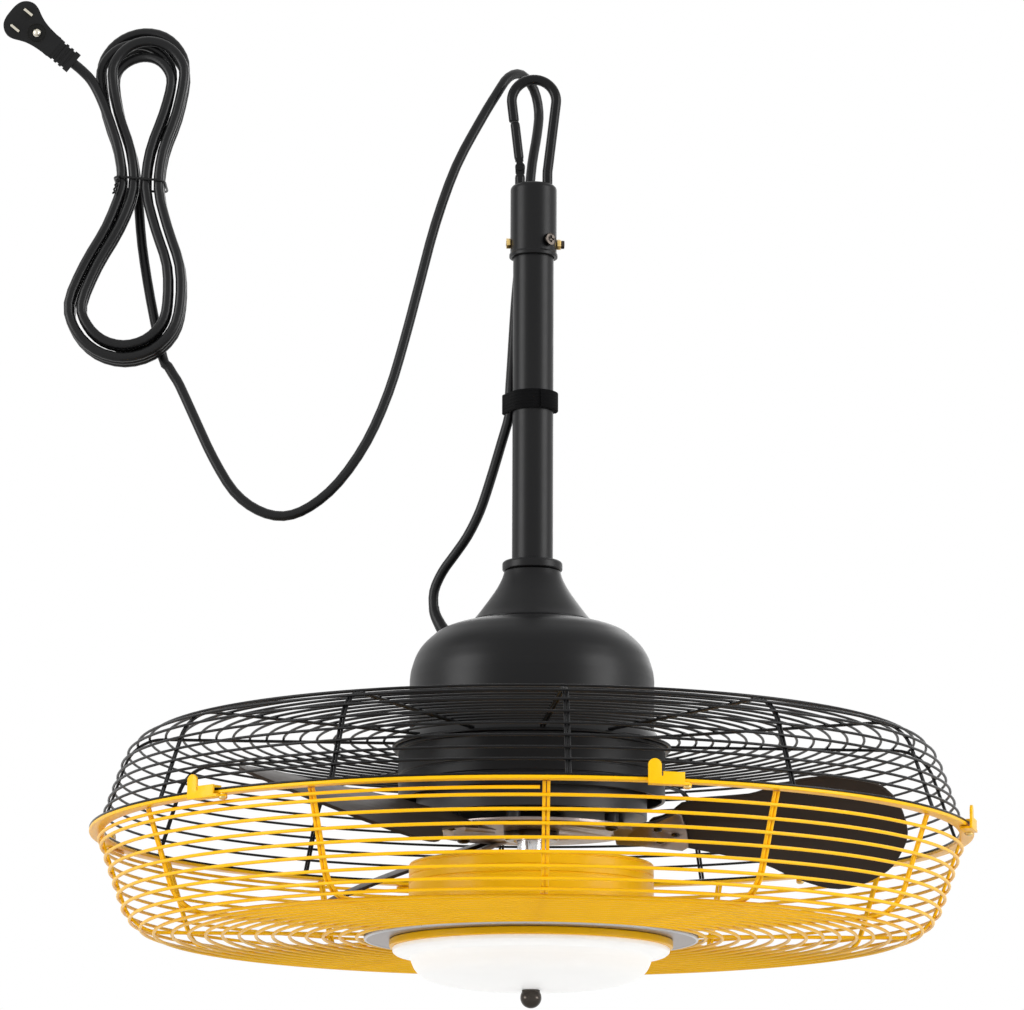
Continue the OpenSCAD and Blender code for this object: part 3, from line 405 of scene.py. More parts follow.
class Finish(NodeTree):
    """A material in the making, with a plain coat of the given colour and gloss."""

    def __init__(self, name, colour, gloss, metal=0.0, **plain):
        self.slot = name
        self.material = bpy.data.materials.new(name + "_finish")
        self.material.diffuse_color = (*colour, 1)
        super().__init__(self.material)
        self.shader = self.tree.nodes["Principled BSDF"]
        self.colour, self.gloss = (*colour, 1), gloss
        self.set("Base Color", self.colour)
        self.set("Roughness", gloss)
        self.set("Metallic", metal)
        for socket, value in plain.items():
            self.set(socket.replace("_", " "), value)
        self.here = self.node("ShaderNodeTexCoord", output="Object")

    def set(self, socket, value):
        self.put(self.shader.inputs[socket], value)

    def grain(self, size, detail=2.0, stretch=(1, 1, 1)):
        """Noise with lumps of about the given size in millimetres."""
        where = self.node("ShaderNodeMapping", {}, {"Vector": self.here, "Scale": stretch})
        return self.node("ShaderNodeTexNoise", {}, {
            "Vector": where, "Scale": 1000 / size, "Detail": detail}, "Fac")

    def bands(self, size):
        """Even light and dark bands across the height, each so many millimetres wide."""
        return self.node("ShaderNodeTexWave", {"bands_direction": "Z"}, {
            "Vector": self.here, "Scale": 1000 / size / 20 * math.pi}, "Fac")

    def rings(self, size):
        """Fine marks round the fan's axis, as a lathe or a spinning brush leaves."""
        flat = self.node("ShaderNodeVectorMath", {"operation": "MULTIPLY"},
                         {0: self.here, 1: (1, 1, 0)})
        out = self.node("ShaderNodeVectorMath", {"operation": "LENGTH"}, {0: flat}, "Value")
        place = self.node("ShaderNodeCombineXYZ", {}, {"X": out})
        return self.node("ShaderNodeTexNoise", {}, {
            "Vector": place, "Scale": 1000 / size, "Detail": 2.0}, "Fac")

    def mottle(self, size, share=0.12, detail=2.0):
        """The colour drifts a little lighter and darker over the given size."""
        darker = tuple(c * (1 - share) for c in self.colour[:3]) + (1,)
        lighter = tuple(min(c * (1 + share), 1) for c in self.colour[:3]) + (1,)
        mixed = self.node("ShaderNodeMix", {"data_type": "RGBA"}, {
            0: self.grain(size, detail), 6: darker, 7: lighter}, 2)
        self.set("Base Color", mixed)
        return self

    def vary_gloss(self, pattern, swing):
        self.set("Roughness", pattern * swing + (self.gloss - swing / 2))
        return self

    def relief(self, pattern, depth, strength=0.6):
        """Bump as deep as a number of millimetres."""
        self.set("Normal", self.node("ShaderNodeBump", {}, {
            "Height": pattern, "Distance": depth * MM, "Strength": strength}, "Normal"))
        return self


# %% [markdown]
# Three coats cover most of the fan. The black one is a matte powder coat with a fine
# orange peel, the wires have a smoother dip coat, and the yellow one is a warm glossy
# enamel. The colours are those that the real coats have in plain light.

# %% Coats
finishes = {}


def keep(finish):
    finishes[finish.slot] = finish.material
    return finish


coat = keep(Finish("black_coat", (0.0035, 0.0035, 0.0039), 0.37, Specular_IOR_Level=0.21))
coat.mottle(60).vary_gloss(coat.grain(9), 0.08).relief(coat.grain(0.9), 0.03, 0.35)
dip = keep(Finish("black_wire", (0.0035, 0.0035, 0.0039), 0.26, Specular_IOR_Level=0.17))
dip.mottle(30).vary_gloss(dip.grain(12), 0.1).relief(dip.grain(2.4), 0.03, 0.3)
enamel = keep(Finish("yellow_coat", (0.93, 0.505, 0.003), 0.34, Coat_Weight=0.06,
                     Coat_Roughness=0.12, Specular_IOR_Level=0.16))
enamel.mottle(45, 0.05).vary_gloss(enamel.grain(8), 0.08).relief(enamel.grain(1.6), 0.02, 0.25)
rotor = keep(Finish("rotor_black", (0.02, 0.02, 0.021), 0.4, 0.3))
rotor.mottle(20).vary_gloss(rotor.rings(0.6), 0.1).relief(rotor.rings(0.6), 0.02, 0.3)

# %% [markdown]
# The hub is satin bronze and the lower plate is a greyer one. The other metals differ in
# how they were worked: the shaft is turned and bright, the nuts are plated, the pins are
# plain drawn steel, and the screws, the hub's collar and the finial are darkened.

# %% Metals
bronze = keep(Finish("bronze_metal", (0.32, 0.265, 0.24), 0.3, 0.85))
bronze.mottle(14, 0.15).vary_gloss(bronze.grain(4), 0.12)
bronze.relief(bronze.grain(0.7), 0.02, 0.3)
plate = keep(Finish("grey_plate", (0.285, 0.245, 0.23), 0.34, 0.8))
plate.mottle(25).vary_gloss(plate.rings(0.8), 0.14).relief(plate.rings(0.8), 0.015, 0.4)
chrome = keep(Finish("chrome_tube", (0.78, 0.78, 0.79), 0.14, 1.0))
chrome.mottle(10, 0.04).vary_gloss(chrome.grain(3), 0.06)
chrome.relief(chrome.grain(1.2), 0.004, 0.15)
steel = keep(Finish("steel", (0.52, 0.52, 0.53), 0.3, 1.0))
steel.mottle(8, 0.08).vary_gloss(steel.grain(1.5), 0.14).relief(steel.grain(0.5), 0.01, 0.3)
zinc = keep(Finish("zinc_nut", (0.70, 0.50, 0.19), 0.3, 1.0))
zinc.mottle(2.5, 0.2).vary_gloss(zinc.grain(1.2), 0.15).relief(zinc.grain(0.6), 0.02, 0.3)
nickel = keep(Finish("prong_metal", (0.66, 0.62, 0.52), 0.26, 1.0))
nickel.mottle(6, 0.06).vary_gloss(nickel.grain(2, stretch=(1, 6, 1)), 0.12)
nickel.relief(nickel.grain(0.8, stretch=(6, 1, 6)), 0.01, 0.3)
screw_black = keep(Finish("dark_screw", (0.055, 0.047, 0.041), 0.17, 1.0))
screw_black.mottle(3).vary_gloss(screw_black.grain(1.2), 0.12)
screw_black.relief(screw_black.grain(0.7), 0.02, 0.3)
magnet = keep(Finish("magnet", (0.2, 0.2, 0.21), 0.5, 0.6))
magnet.mottle(3, 0.2).vary_gloss(magnet.grain(1), 0.2).relief(magnet.grain(0.5), 0.03)
sheets = keep(Finish("lamination", (0.3, 0.3, 0.31), 0.45, 0.8))
sheets.mottle(5, 0.15).vary_gloss(sheets.grain(2), 0.1).relief(sheets.bands(0.5), 0.12, 0.8)
copper = keep(Finish("winding", (0.5, 0.19, 0.07), 0.3, 0.9))
copper.mottle(4, 0.2).vary_gloss(copper.grain(2), 0.1).relief(copper.bands(0.9), 0.2, 0.9)

# %% [markdown]
# The plastics, the cord and the strap are soft to the eye: broad highlights, and a
# grain that breaks them up. The strap is a woven tape with a fuzz of fine loops.

# %% Plastics, sheath and strap
blade_finish = keep(Finish("blade_plastic", (0.027, 0.019, 0.014), 0.45, Specular_IOR_Level=0.06))
blade_finish.mottle(40, 0.1).vary_gloss(blade_finish.grain(10), 0.08)
blade_finish.relief(blade_finish.grain(1.1), 0.03, 0.3)
sheath = keep(Finish("cord_rubber", (0.0045, 0.0046, 0.005), 0.34, Specular_IOR_Level=0.24))
sheath.mottle(18).vary_gloss(sheath.grain(6), 0.12).relief(sheath.grain(1.3), 0.04, 0.3)
strap_finish = keep(Finish("strap_fabric", (0.0035, 0.0035, 0.0038), 0.9, Sheen_Weight=0.02,
                            Specular_IOR_Level=0.06))
weave = strap_finish.bands(1.0) * 0.5 + strap_finish.grain(0.45, 3) * 0.9
strap_finish.mottle(3, 0.3).vary_gloss(strap_finish.grain(0.8), 0.1).relief(weave, 0.35, 0.9)
board = keep(Finish("circuit_board", (0.03, 0.16, 0.085), 0.35))
board.mottle(6, 0.35, 0.5).vary_gloss(board.grain(2), 0.1).relief(board.grain(1.5), 0.05)
white = keep(Finish("white_board", (0.82, 0.82, 0.8), 0.5))
white.mottle(12, 0.04).vary_gloss(white.grain(3), 0.1).relief(white.grain(0.8), 0.02)
bowl = keep(Finish("white_diffuser", (0.8, 0.8, 0.79), 0.42, Emission_Strength=0.28,
                   Emission_Color=(1, 0.995, 0.98, 1)))
bowl.mottle(50, 0.015).vary_gloss(bowl.grain(10), 0.06).relief(bowl.grain(2.5), 0.02, 0.2)
print("finishes:", len(finishes))

# %% [markdown]
# The record names a finish for each node, so the solids that stay in view, such as the
# wires of the grilles, and the ones inside get theirs in one loop.

# %% Every node of the frame gets the finish of its own slot
slot_of = {part["node"]: part["material_slot"] for part in frame["record"]["subparts"]}
for node_name, node_object in nodes.items():
    finish = finishes[slot_of[node_name]]
    if not node_object.data.materials:
        node_object.data.materials.append(finish)
    for material_slot in node_object.material_slots:
        material_slot.material = finish
mains_cord.data.materials.append(finishes["cord_rubber"])

# %% [markdown]
# The dome, the shroud, the light's drum, its bowl and both rims are round about one
# axis: the real ones are spun or pressed from sheet. They could be cut from cylinders,
# but a profile that is spun once round the axis gives the soft corners of pressed
# sheet, so each one is drawn as half an outline, rounded, and spun.

# %% Cleaning, shaping and dressing a piece


def clean(thing, smooth_angle=35):
    """Fix the place of a piece in its mesh, close its seams and turn its faces out."""
    only(thing)
    bpy.ops.object.transform_apply(location=True, rotation=True, scale=True)
    bpy.ops.object.mode_set(mode="EDIT")
    bpy.ops.mesh.select_all(action="SELECT")
    bpy.ops.mesh.remove_doubles(threshold=0.000004)
    bpy.ops.mesh.normals_make_consistent(inside=False)
    bpy.ops.object.mode_set(mode="OBJECT")
    bpy.ops.object.shade_smooth_by_angle(angle=math.radians(smooth_angle))


def shaped(thing, kind, **settings):
    """Add a modifier to a piece, set it and apply it."""
    only(thing)
    change = thing.modifiers.new(kind.lower(), kind)
    for key, value in settings.items():
        setattr(change, key, value)
    bpy.ops.object.modifier_apply(modifier=change.name)


def soften_edges(thing, width, segments=2, angle=30):
    """Round the edges of a piece by so many millimetres, where they are sharp enough."""
    shaped(thing, "BEVEL", width=width * MM, segments=segments, limit_method="ANGLE",
           angle_limit=math.radians(angle))


def join(pieces):
    bpy.ops.object.select_all(action="DESELECT")
    for piece in pieces:
        piece.select_set(True)
    bpy.context.view_layer.objects.active = pieces[0]
    bpy.ops.object.join()
    return bpy.context.object


def dress(piece, name, slot, body, *stands_for, smooth_angle=35):
    """Name a piece, give it its finish and body, and hide the solids it stands for."""
    clean(piece, smooth_angle)
    piece.name = name
    piece.data.materials.clear()
    piece.data.materials.append(finishes[slot])
    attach(piece, body)
    if stands_for:
        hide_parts(*stands_for)
    print(name, len(piece.data.polygons), "faces")


# %% [markdown]
# A profile is drawn as a wire that is extruded from point to point. Its corners are
# replaced by short curves first, since no pressed or turned part has a sharp one.

# %% Outlines and spinning


def chain(points):
    """A wire of edges that is extruded from point to point, left in edit mode."""
    bpy.ops.object.select_all(action="DESELECT")
    bpy.ops.mesh.primitive_plane_add(size=MM, location=(0, 0, 0))
    wire = bpy.context.object
    bpy.ops.object.mode_set(mode="EDIT")
    bpy.ops.mesh.select_all(action="SELECT")
    bpy.ops.mesh.merge(type="CENTER")
    bpy.ops.transform.translate(value=points[0])
    for before, after in zip(points, points[1:]):
        bpy.ops.mesh.extrude_region_move(TRANSFORM_OT_translate={"value": after - before})
    bpy.ops.mesh.select_all(action="SELECT")
    return wire


def rounded(points, radius, closed=True, parts=4):
    """Flat outline whose corners are replaced by short curves."""
    points = [Vector(p) for p in points]
    out, count = [], len(points)
    for i, corner in enumerate(points):
        if not closed and i in (0, count - 1):
            out.append(corner)
            continue
        back, on = points[i - 1] - corner, points[(i + 1) % count] - corner
        reach = min(radius, 0.45 * back.length, 0.45 * on.length)
        start, end = corner + reach * back.normalized(), corner + reach * on.normalized()
        for j in range(parts + 1):
            t = j / parts
            out.append(start * (1 - t) ** 2 + corner * 2 * t * (1 - t) + end * t * t)
    return out + ([out[0]] if closed else [])


def turned(outline, radius=0.5, steps=128, closed=True):
    """Spin half an outline of (radius, height) in millimetres round the fan's axis."""
    points = rounded(outline, radius, closed)
    wire = chain([Vector((p[0] * MM, 0, (p[1] + RIM_Z) * MM)) for p in points])
    bpy.ops.mesh.spin(steps=steps, angle=math.tau, center=(0, 0, 0), axis=(0, 0, 1))
    bpy.ops.object.mode_set(mode="OBJECT")
    return wire


def groove(radius, height, half):
    """Four points of a fine groove, 0.6 mm deep, in a wall that is drawn downwards."""
    floor_half = half - 0.2
    return [(radius, height + half), (radius - 0.6, height + floor_half),
            (radius - 0.6, height - floor_half), (radius, height - half)]


def flowing(points, parts=4):
    """The same points with a smooth curve through them."""
    return [tuple(p) for p in smooth_through([Vector(p) for p in points], parts)]


# %% [markdown]
# The motor sits in a deep dome with a bell on top of it, and a wider shroud hangs below
# with a ledge that carries the upper grille. The sheet is 2 mm thick, and the shroud
# has two fine grooves near its lower edge, as the photograph shows.

# %% Motor housing
SHEET, DOME_R, SHROUD_R, RING_STEPS = 2, 74, 80.4, 160
DOME = flowing([(37, 130.6), (47, 128.4), (56, 125), (62.2, 120.2), (67, 115.2),
                (70.1, 110.2), (72, 105.1), (73.4, 100), (DOME_R, 94.6)])
dome_inside = [(max(r - SHEET * min(1, k / 20), 8.6), z - SHEET * (1 - (k / len(DOME)) ** 2))
               for k, (r, z) in enumerate(DOME)]
dress(turned([(8.6, 130.6)] + DOME + [(DOME_R, 67.05), (60, 67.05), (60, 69.1),
                                      (DOME_R - SHEET, 69.1)]
             + dome_inside[::-1] + [(8.6, 128.6)], 0.6),
      "housing_dome", "black_coat", "hanging_frame", "motor_dome")
SHROUD = flowing([(68, 67), (72.8, 64.8), (76.8, 60.4), (79.3, 55.6), (80.2, 53.15)], 3)
LEDGE = [(82.6, 53.15), (82.6, 51.25), (SHROUD_R, 51.25)]
dress(turned([(61, 67)] + SHROUD + LEDGE
             + [p for height in (36.6, 30.1) for p in groove(SHROUD_R, height, 0.6)]
             + [(SHROUD_R, 22), (SHROUD_R - SHEET, 22), (SHROUD_R - SHEET, 49), (77.3, 53.6),
                (74.8, 59.2), (70.8, 63.6), (67.6, 65), (61, 65)], 0.5, RING_STEPS),
      "housing_shroud", "black_coat", "hanging_frame", "motor_shroud")
dress(turned([(80.6, 53.25), (84.2, 53.25), (84.2, 55.3), (80.6, 55.3)], 0.6, RING_STEPS),
      "grille_seat_ring", "black_coat", "hanging_frame", "upper_grille_plate")
BELL = flowing([(36.6, 131.6), (33.4, 135.2), (29.8, 140), (26.6, 144.4), (23.4, 149),
                (20.6, 153.6), (18.4, 158.2), (17, 162.7)])
dress(turned([(36.6, 130.7)] + BELL + [(12.6, 162.7), (12.6, 161.1)]
             + [(r - 1.9, min(z, 161.1)) for r, z in BELL[::-1]] + [(34.7, 130.7)], 0.4),
      "bell_cover", "black_coat", "hanging_frame", "bell_canopy")
dress(turned([(12.6, 162.8), (17.6, 162.8), (18.3, 163.6), (18.3, 167.6), (17.2, 168.8),
              (12.6, 168.8)], 0.6),
      "tube_collar", "black_coat", "hanging_frame", "rod_collar")

# %% [markdown]
# Both rims are flat bands that a latch pinches together. Their edges are rolled, so a
# thin light runs along them, and a knife edge would lose it.

# %% Rims
RIM_IN, RIM_OUT, RIM_STEPS = 256.2, 265, 288
dress(turned([(RIM_IN, 1.5), (RIM_OUT, 1.5), (RIM_OUT, 2.7), (RIM_IN, 2.7)], 0.5, RIM_STEPS),
      "black_rim", "black_wire", "hanging_frame", "upper_rim")
dress(turned([(RIM_IN, -0.6), (RIM_OUT, -0.6), (RIM_OUT, 1.4), (RIM_IN, 1.4)], 0.7, RIM_STEPS),
      "yellow_rim", "yellow_coat", "hanging_frame", "lower_rim")

# %% [markdown]
# The light hangs on the shaft: a yellow drum with grooves, then a plate that carries the
# lower grille and has a black edging over a bright lip. A yellow ring comes next.

# %% Drum, plate and ring of the light
DRUM_TOP, DRUM_R = -15.8, 73.5
dress(turned([(8.1, DRUM_TOP), (71.6, DRUM_TOP), (73, DRUM_TOP - 0.5), (DRUM_R, DRUM_TOP - 1.5)]
             + [p for down in (2.3, 8.4, 12.9) for p in groove(DRUM_R, DRUM_TOP - down, 0.5)]
             + [(DRUM_R, -59.6), (DRUM_R - SHEET, -59.6), (DRUM_R - SHEET, -18.8),
                (70.5, -18.1), (8.1, -18.1)], 0.6),
      "lamp_drum", "yellow_coat", "hanging_frame", "light_drum")
dress(turned([(64, -61.8), (98.9, -61.8), (98.9, -59.65), (64, -59.65)], 0.5, RING_STEPS),
      "lower_plate", "grey_plate", "hanging_frame", "lower_grille_plate")
dress(turned([(98.8, -60.5), (100.2, -60.5), (100.2, -59.5), (98.8, -59.5)], 0.4, RING_STEPS),
      "plate_edging", "black_wire", "hanging_frame")
dress(turned([(98.6, -62.2), (99.6, -62.2), (100.2, -61.6), (100.2, -60.6), (98.6, -60.6)],
             0.5, RING_STEPS),
      "plate_lip", "steel", "hanging_frame")
dress(turned([(60, -61.85), (84.4, -61.85), (85, -62.4), (85, -66.35), (60, -66.35)],
             0.9, RING_STEPS),
      "lamp_ring", "yellow_coat", "hanging_frame", "light_trim")

# %% [markdown]
# The bowl of opal plastic is a shell with a step all round, so its outline runs along the
# outside and back along the inside. A small dark ball on a stem holds it from below.

# %% Bowl and finial
BOWL_OUT = [(83, -66.4), (83, -69), (81, -70.6), (72.6, -71.8)] + flowing(
    [(71.5, -75.5), (69.4, -79.7), (65, -83.7), (57, -86.8), (45, -89.1), (32, -90.4),
     (16, -91), (3.2, -91.2)], 4)
BOWL_IN = flowing([(3.2, -89.4), (16, -89.2), (31.1, -88.7), (44.1, -87.4), (56.1, -85.1),
                   (63, -82.8), (67.4, -78.8), (69.5, -74.6)], 3) + [
    (70.6, -69.8), (80.4, -68.8), (81, -68.3), (81, -66.4)]
dress(turned(BOWL_OUT + BOWL_IN, 0.8, RING_STEPS),
      "lamp_bowl", "white_diffuser", "hanging_frame", "diffuser")
BALL_R, BALL_Z = 6.4, -95.95
ball = [(BALL_R * math.cos(math.radians(a)), BALL_Z + BALL_R * math.sin(math.radians(a)))
        for a in range(-90, 31, 10)]
dress(turned(ball + [(5.5, -92.45), (5.5, -91.3), (3, -91.25), (3, -68), (0, -68)], 0.3, 64,
             closed=False),
      "lamp_finial", "dark_screw", "hanging_frame", "finial")

# %% [markdown]
# The snap hook is one steel wire, bent into a bow at the top and an eye at the bottom.
# Straight pieces with balls at the bends would show their joints, so its middle line is
# drawn with the real bends, and the wire gets a small lug for the gate.

# %% Middle line of the snap hook
HOOK_WIRE, BOW, LEG, EYE, PIVOT = 6.4, 13.75, 8.45, 382, 417
GATE_LENGTH, NOSE_GAP = 28.6, 0.5
LEAN, BOW_START, BOW_SWEEP = math.radians(6.7), 186.7, 193.4
bow_height = HOOK_WIRE / 2 - RIM_Z - BOW
shoulder = Vector((BOW * math.cos(LEAN), 0, bow_height - BOW * math.sin(LEAN)))
slope = Vector((math.sin(LEAN), 0, math.cos(LEAN)))
bend = shoulder - slope * ((BOW * math.cos(LEAN) - LEG) / math.sin(LEAN))
nose_length = (shoulder.z - PIVOT) / math.cos(LEAN) - GATE_LENGTH - NOSE_GAP
mirror = Vector((-1, 1, 1))
nose = shoulder * mirror + Vector((slope.x, 0, -slope.z)) * nose_length
wire_run = [nose + Vector((-slope.x, 0, slope.z)) * k for k in (0, 0.4, 1.2)]
wire_run += [Vector((BOW * math.cos(a), 0, bow_height + BOW * math.sin(a)))
             for a in (math.radians(BOW_START - BOW_SWEEP * k / 40) for k in range(41))]
wire_run += [bend + slope * 3, bend + slope * 1 + Vector((-0.05, 0, 0)),
             bend - Vector((0, 0, 1.5)), Vector((LEG, 0, (bend.z + EYE) / 2))]
wire_run += [Vector((LEG * math.cos(a), 0, EYE + LEG * math.sin(a)))
             for a in (math.radians(-180 * k / 24) for k in range(25))]
wire_run += [Vector((-LEG, 0, PIVOT - 7)), Vector((-LEG, 0, PIVOT - 5.6)),
             Vector((-LEG, 0, PIVOT - 4.9))]
widths = [0.8, 0.93, 1] + [1] * (len(wire_run) - 5) + [0.93, 0.8]
print("hook wire:", len(wire_run), "points")

# %% Snap hook with its lug
LUG_R, LUG_DEPTH, LUG_FOOT = 3.1, 2.6, 2.6
hook_wire = bent_wire(wire_run, HOOK_WIRE, widths)
bpy.ops.object.select_all(action="DESELECT")
bpy.ops.mesh.primitive_cylinder_add(vertices=48, radius=LUG_R * MM, depth=LUG_DEPTH * MM,
                                    location=rim_frame([(-LEG, 0, PIVOT)])[0],
                                    rotation=(math.pi / 2, 0, 0))
lug = bpy.context.object
for corner in lug.data.vertices:  # the lower half reaches down to the wire's end
    if corner.co.y < -0.001:
        corner.co.y -= LUG_FOOT * MM
soften_edges(lug, 0.35)
dress(join([hook_wire, lug]), "snap_hook_wire", "black_wire", "hanging_frame", "snap_hook")

# %% [markdown]
# Flat and cast parts already have the right outline in the engineering model, but
# their edges are perfectly sharp and would look like paper. A copy of the solid is
# merged, its flat faces are joined up again, and a narrow bevel goes on every edge.

# %% Copies with softened edges


def softened(node_name, width, segments=2, angle=32):
    """A copy of a solid whose edges are rounded by so many millimetres."""
    copy = bpy.data.objects.new(node_name + "_soft", nodes[node_name].data.copy())
    bpy.context.collection.objects.link(copy)
    only(copy)
    bpy.ops.object.mode_set(mode="EDIT")
    bpy.ops.mesh.select_all(action="SELECT")
    bpy.ops.mesh.remove_doubles(threshold=0.000002)
    bpy.ops.mesh.dissolve_limited(angle_limit=math.radians(0.5))
    bpy.ops.mesh.normals_make_consistent(inside=False)
    bpy.ops.object.mode_set(mode="OBJECT")
    soften_edges(copy, width, segments, angle)
    return copy


GATE_WIRE = 6
gate_foot, gate_way = Vector((-LEG, 0, PIVOT)), slope * mirror
gate_bar = bent_wire([gate_foot + gate_way * s for s in (5.2, 5.6, 6.5, 17, 27, 27.8, 28.2)],
                     GATE_WIRE, [0.85, 0.95, 1, 1, 1, 0.95, 0.85])
dress(join([softened("hook_gate", 0.3), gate_bar]), "snap_gate", "black_wire", "gate",
      "hook_gate")
dress(softened("gate_pin", 0.2), "gate_rivet", "black_wire", "hanging_frame", "gate_pin")
dress(softened("coupling_nuts", 0.35), "stud_nuts", "zinc_nut", "hanging_frame",
      "coupling_nuts")
dress(softened("coupling_screws", 0.3), "stud_and_screw", "dark_screw", "hanging_frame",
      "coupling_screws")
dress(softened("hub_plate", 0.35), "hub_sheet", "bronze_metal", "rotor", "hub_plate")
dress(softened("shaft_nuts", 0.4), "drum_nuts", "zinc_nut", "hanging_frame", "shaft_nuts")

# %% [markdown]
# The coupling is a cast socket with a lip below and a domed top that the hook's legs go
# into. It is turned like the housings.

# %% Coupling
dress(turned([(0, 405), (11.3, 405), (12.4, 404.8), (13.3, 404.2), (14, 403.3), (14.3, 402),
              (14.3, 361.9), (14.9, 361.2), (14.9, 359), (12.6, 359), (12.6, 373), (0, 373)],
             0.5, 96, closed=False),
      "hanger_socket", "black_coat", "hanging_frame", "hanger_coupling")

# %% [markdown]
# Under the hub a turned collar stands round the shaft. It is a plain ring with a broken
# edge, so half of its section is spun as well.

# %% Collar of the hub
dress(turned([(8.9, -1.9), (15.4, -1.9), (16.7, -0.8), (16.7, 2.95), (8.9, 2.95)], 0.35, 96),
      "hub_ring", "dark_screw", "rotor", "hub_cap")

# %% [markdown]
# A strap of woven tape holds the cord against the tube. It goes round both, and one end
# laps over the other in front, so it is a ribbon along its own outline with a second
# short ribbon on top.

# %% Strap


def ribbon(points, low, high, thick):
    """A band of tape that stands along points in millimetres from the fan's axis."""
    tape = chain([Vector((x * MM, y * MM, (low + RIM_Z) * MM)) for x, y in points])
    bpy.ops.mesh.extrude_region_move(
        TRANSFORM_OT_translate={"value": (0, 0, (high - low) * MM)})
    bpy.ops.object.mode_set(mode="OBJECT")
    clean(tape)
    shaped(tape, "SOLIDIFY", thickness=thick * MM, offset=0)
    soften_edges(tape, 0.3 * thick, angle=50)
    return tape


def round_two(first, radius_1, second, radius_2):
    """Outline of a band round two circles, from one tangent to the other."""
    first, second = Vector(first), Vector(second)
    way = (second - first).normalized()
    lean = math.acos((radius_1 - radius_2) / (second - first).length)
    base = math.atan2(way.y, way.x)
    big = [first + radius_1 * Vector((math.cos(a), math.sin(a)))
           for a in (base + lean + (math.tau - 2 * lean) * k / 40 for k in range(41))]
    small = [second + radius_2 * Vector((math.cos(a), math.sin(a)))
             for a in (base - lean + 2 * lean * k / 16 for k in range(17))]
    return big + small + [big[0]]


TUBE_R, AT_STRAP = 12.5, (-14.2, 6.9)
STRAP_LOW, STRAP_HIGH, LAP_R = 262, 274, 14.85
band = ribbon(round_two((0, 0), TUBE_R + 0.85, AT_STRAP, CORD / 2 + 0.95),
              STRAP_LOW, STRAP_HIGH, 1.4)
lap = [(LAP_R * math.cos(math.radians(a)), LAP_R * math.sin(math.radians(a)))
       for a in range(-70, 26, 5)]
flap = ribbon(lap, STRAP_LOW + 0.4, STRAP_HIGH - 0.4, 1.2)
dress(join([band, flap]), "woven_strap", "strap_fabric", "hanging_frame", "cord_strap")

# %% [markdown]
# Three blades of dark plastic sit on the wings of the hub. A blade is a thin sheet with
# a slight arch across it, so its outline is filled, cut into strips, arched, and given
# its thickness, and then the blade is copied to the other two wings.

# %% Blade
OUTLINE = [(72, -8.5), (80.5, -15), (86.4, -20.5), (92.5, -29.1), (97, -32), (125.8, -39.3),
           (138.7, -43), (162.3, -58.2), (178, -62.5), (191.1, -62.2), (211.3, -51.9),
           (221.9, -28.1), (225.4, 9.3), (218.9, 36.3), (210, 54.4), (190.9, 70.7),
           (173.8, 72.4), (154.2, 60.6), (136.3, 44), (118.8, 35.2), (93, 23.7), (82, 20),
           (72, 16.5)]
PITCH, WING_Z, FIRST_WING = math.radians(21.5), 2.5, -8
BLADE_MIDDLE, BLADE_SHEET, ARCH = 2.65, 2, 900


def placed_copies(model, places):
    """Copies of a model, each with its own mesh at its place. The model goes."""
    copies = []
    for place in places:
        copy = bpy.data.objects.new("copy", model.data.copy())
        bpy.context.collection.objects.link(copy)
        copy.matrix_world = place
        only(copy)
        bpy.ops.object.transform_apply(location=True, rotation=True, scale=True)
        copies.append(copy)
    bpy.data.objects.remove(model)
    return copies


def wing_place(number):
    """From a wing's own frame, in metres, to the frame of the whole fan."""
    return (Matrix.Translation((0, 0, (WING_Z + RIM_Z) * MM))
            @ Matrix.Rotation(math.radians(FIRST_WING + 120 * number), 4, "Z")
            @ Matrix.Rotation(-PITCH, 4, "X"))


count = len(OUTLINE)
around = [Vector(p) for p in OUTLINE]
edge_line = []
for i in range(count):
    p0, p1, p2, p3 = (around[i - 1], around[i], around[(i + 1) % count],
                      around[(i + 2) % count])
    edge_line += [between(p0, p1, p2, p3, j / 3) for j in range(3)]
sheet = chain([Vector((p.x * MM, p.y * MM, 0)) for p in edge_line])
bpy.ops.mesh.edge_face_add()
for strip in range(-60, 71, 6):
    bpy.ops.mesh.select_all(action="SELECT")
    bpy.ops.mesh.bisect(plane_co=(0, strip * MM, 0), plane_no=(0, 1, 0))
bpy.ops.object.mode_set(mode="OBJECT")
for corner in sheet.data.vertices:
    corner.co.z = BLADE_MIDDLE * MM - corner.co.y ** 2 / (2 * ARCH * MM)
clean(sheet)
shaped(sheet, "SOLIDIFY", thickness=BLADE_SHEET * MM, offset=0)
soften_edges(sheet, 0.6, 3, 50)
blades = placed_copies(sheet, [wing_place(number) for number in range(3)])
for number, blade in enumerate(blades, 1):
    dress(blade, f"fan_blade_{number}", "blade_plastic", "rotor", f"blade_{number}",
          smooth_angle=40)

# %% [markdown]
# Six cross-head screws hold the hub to the motor, and flat rivets hold the blades. The
# screw has a domed head, so its profile is spun, and the cross is cut out of it by two
# bars that cross, before it is copied.

# %% Screws and rivets of the hub
SCREW_CIRCLE, HUB_FACE = 55, 2.95
CROSS = (4.6 * MM, 0.95 * MM, 2 * MM)


def spun_head(outline, steps=40):
    """Spin an outline of (radius, height) in millimetres round the Z axis."""
    wire = chain([Vector((r * MM, 0, z * MM)) for r, z in outline])
    bpy.ops.mesh.spin(steps=steps, angle=math.tau, center=(0, 0, 0), axis=(0, 0, 1))
    bpy.ops.object.mode_set(mode="OBJECT")
    clean(wire)
    return wire


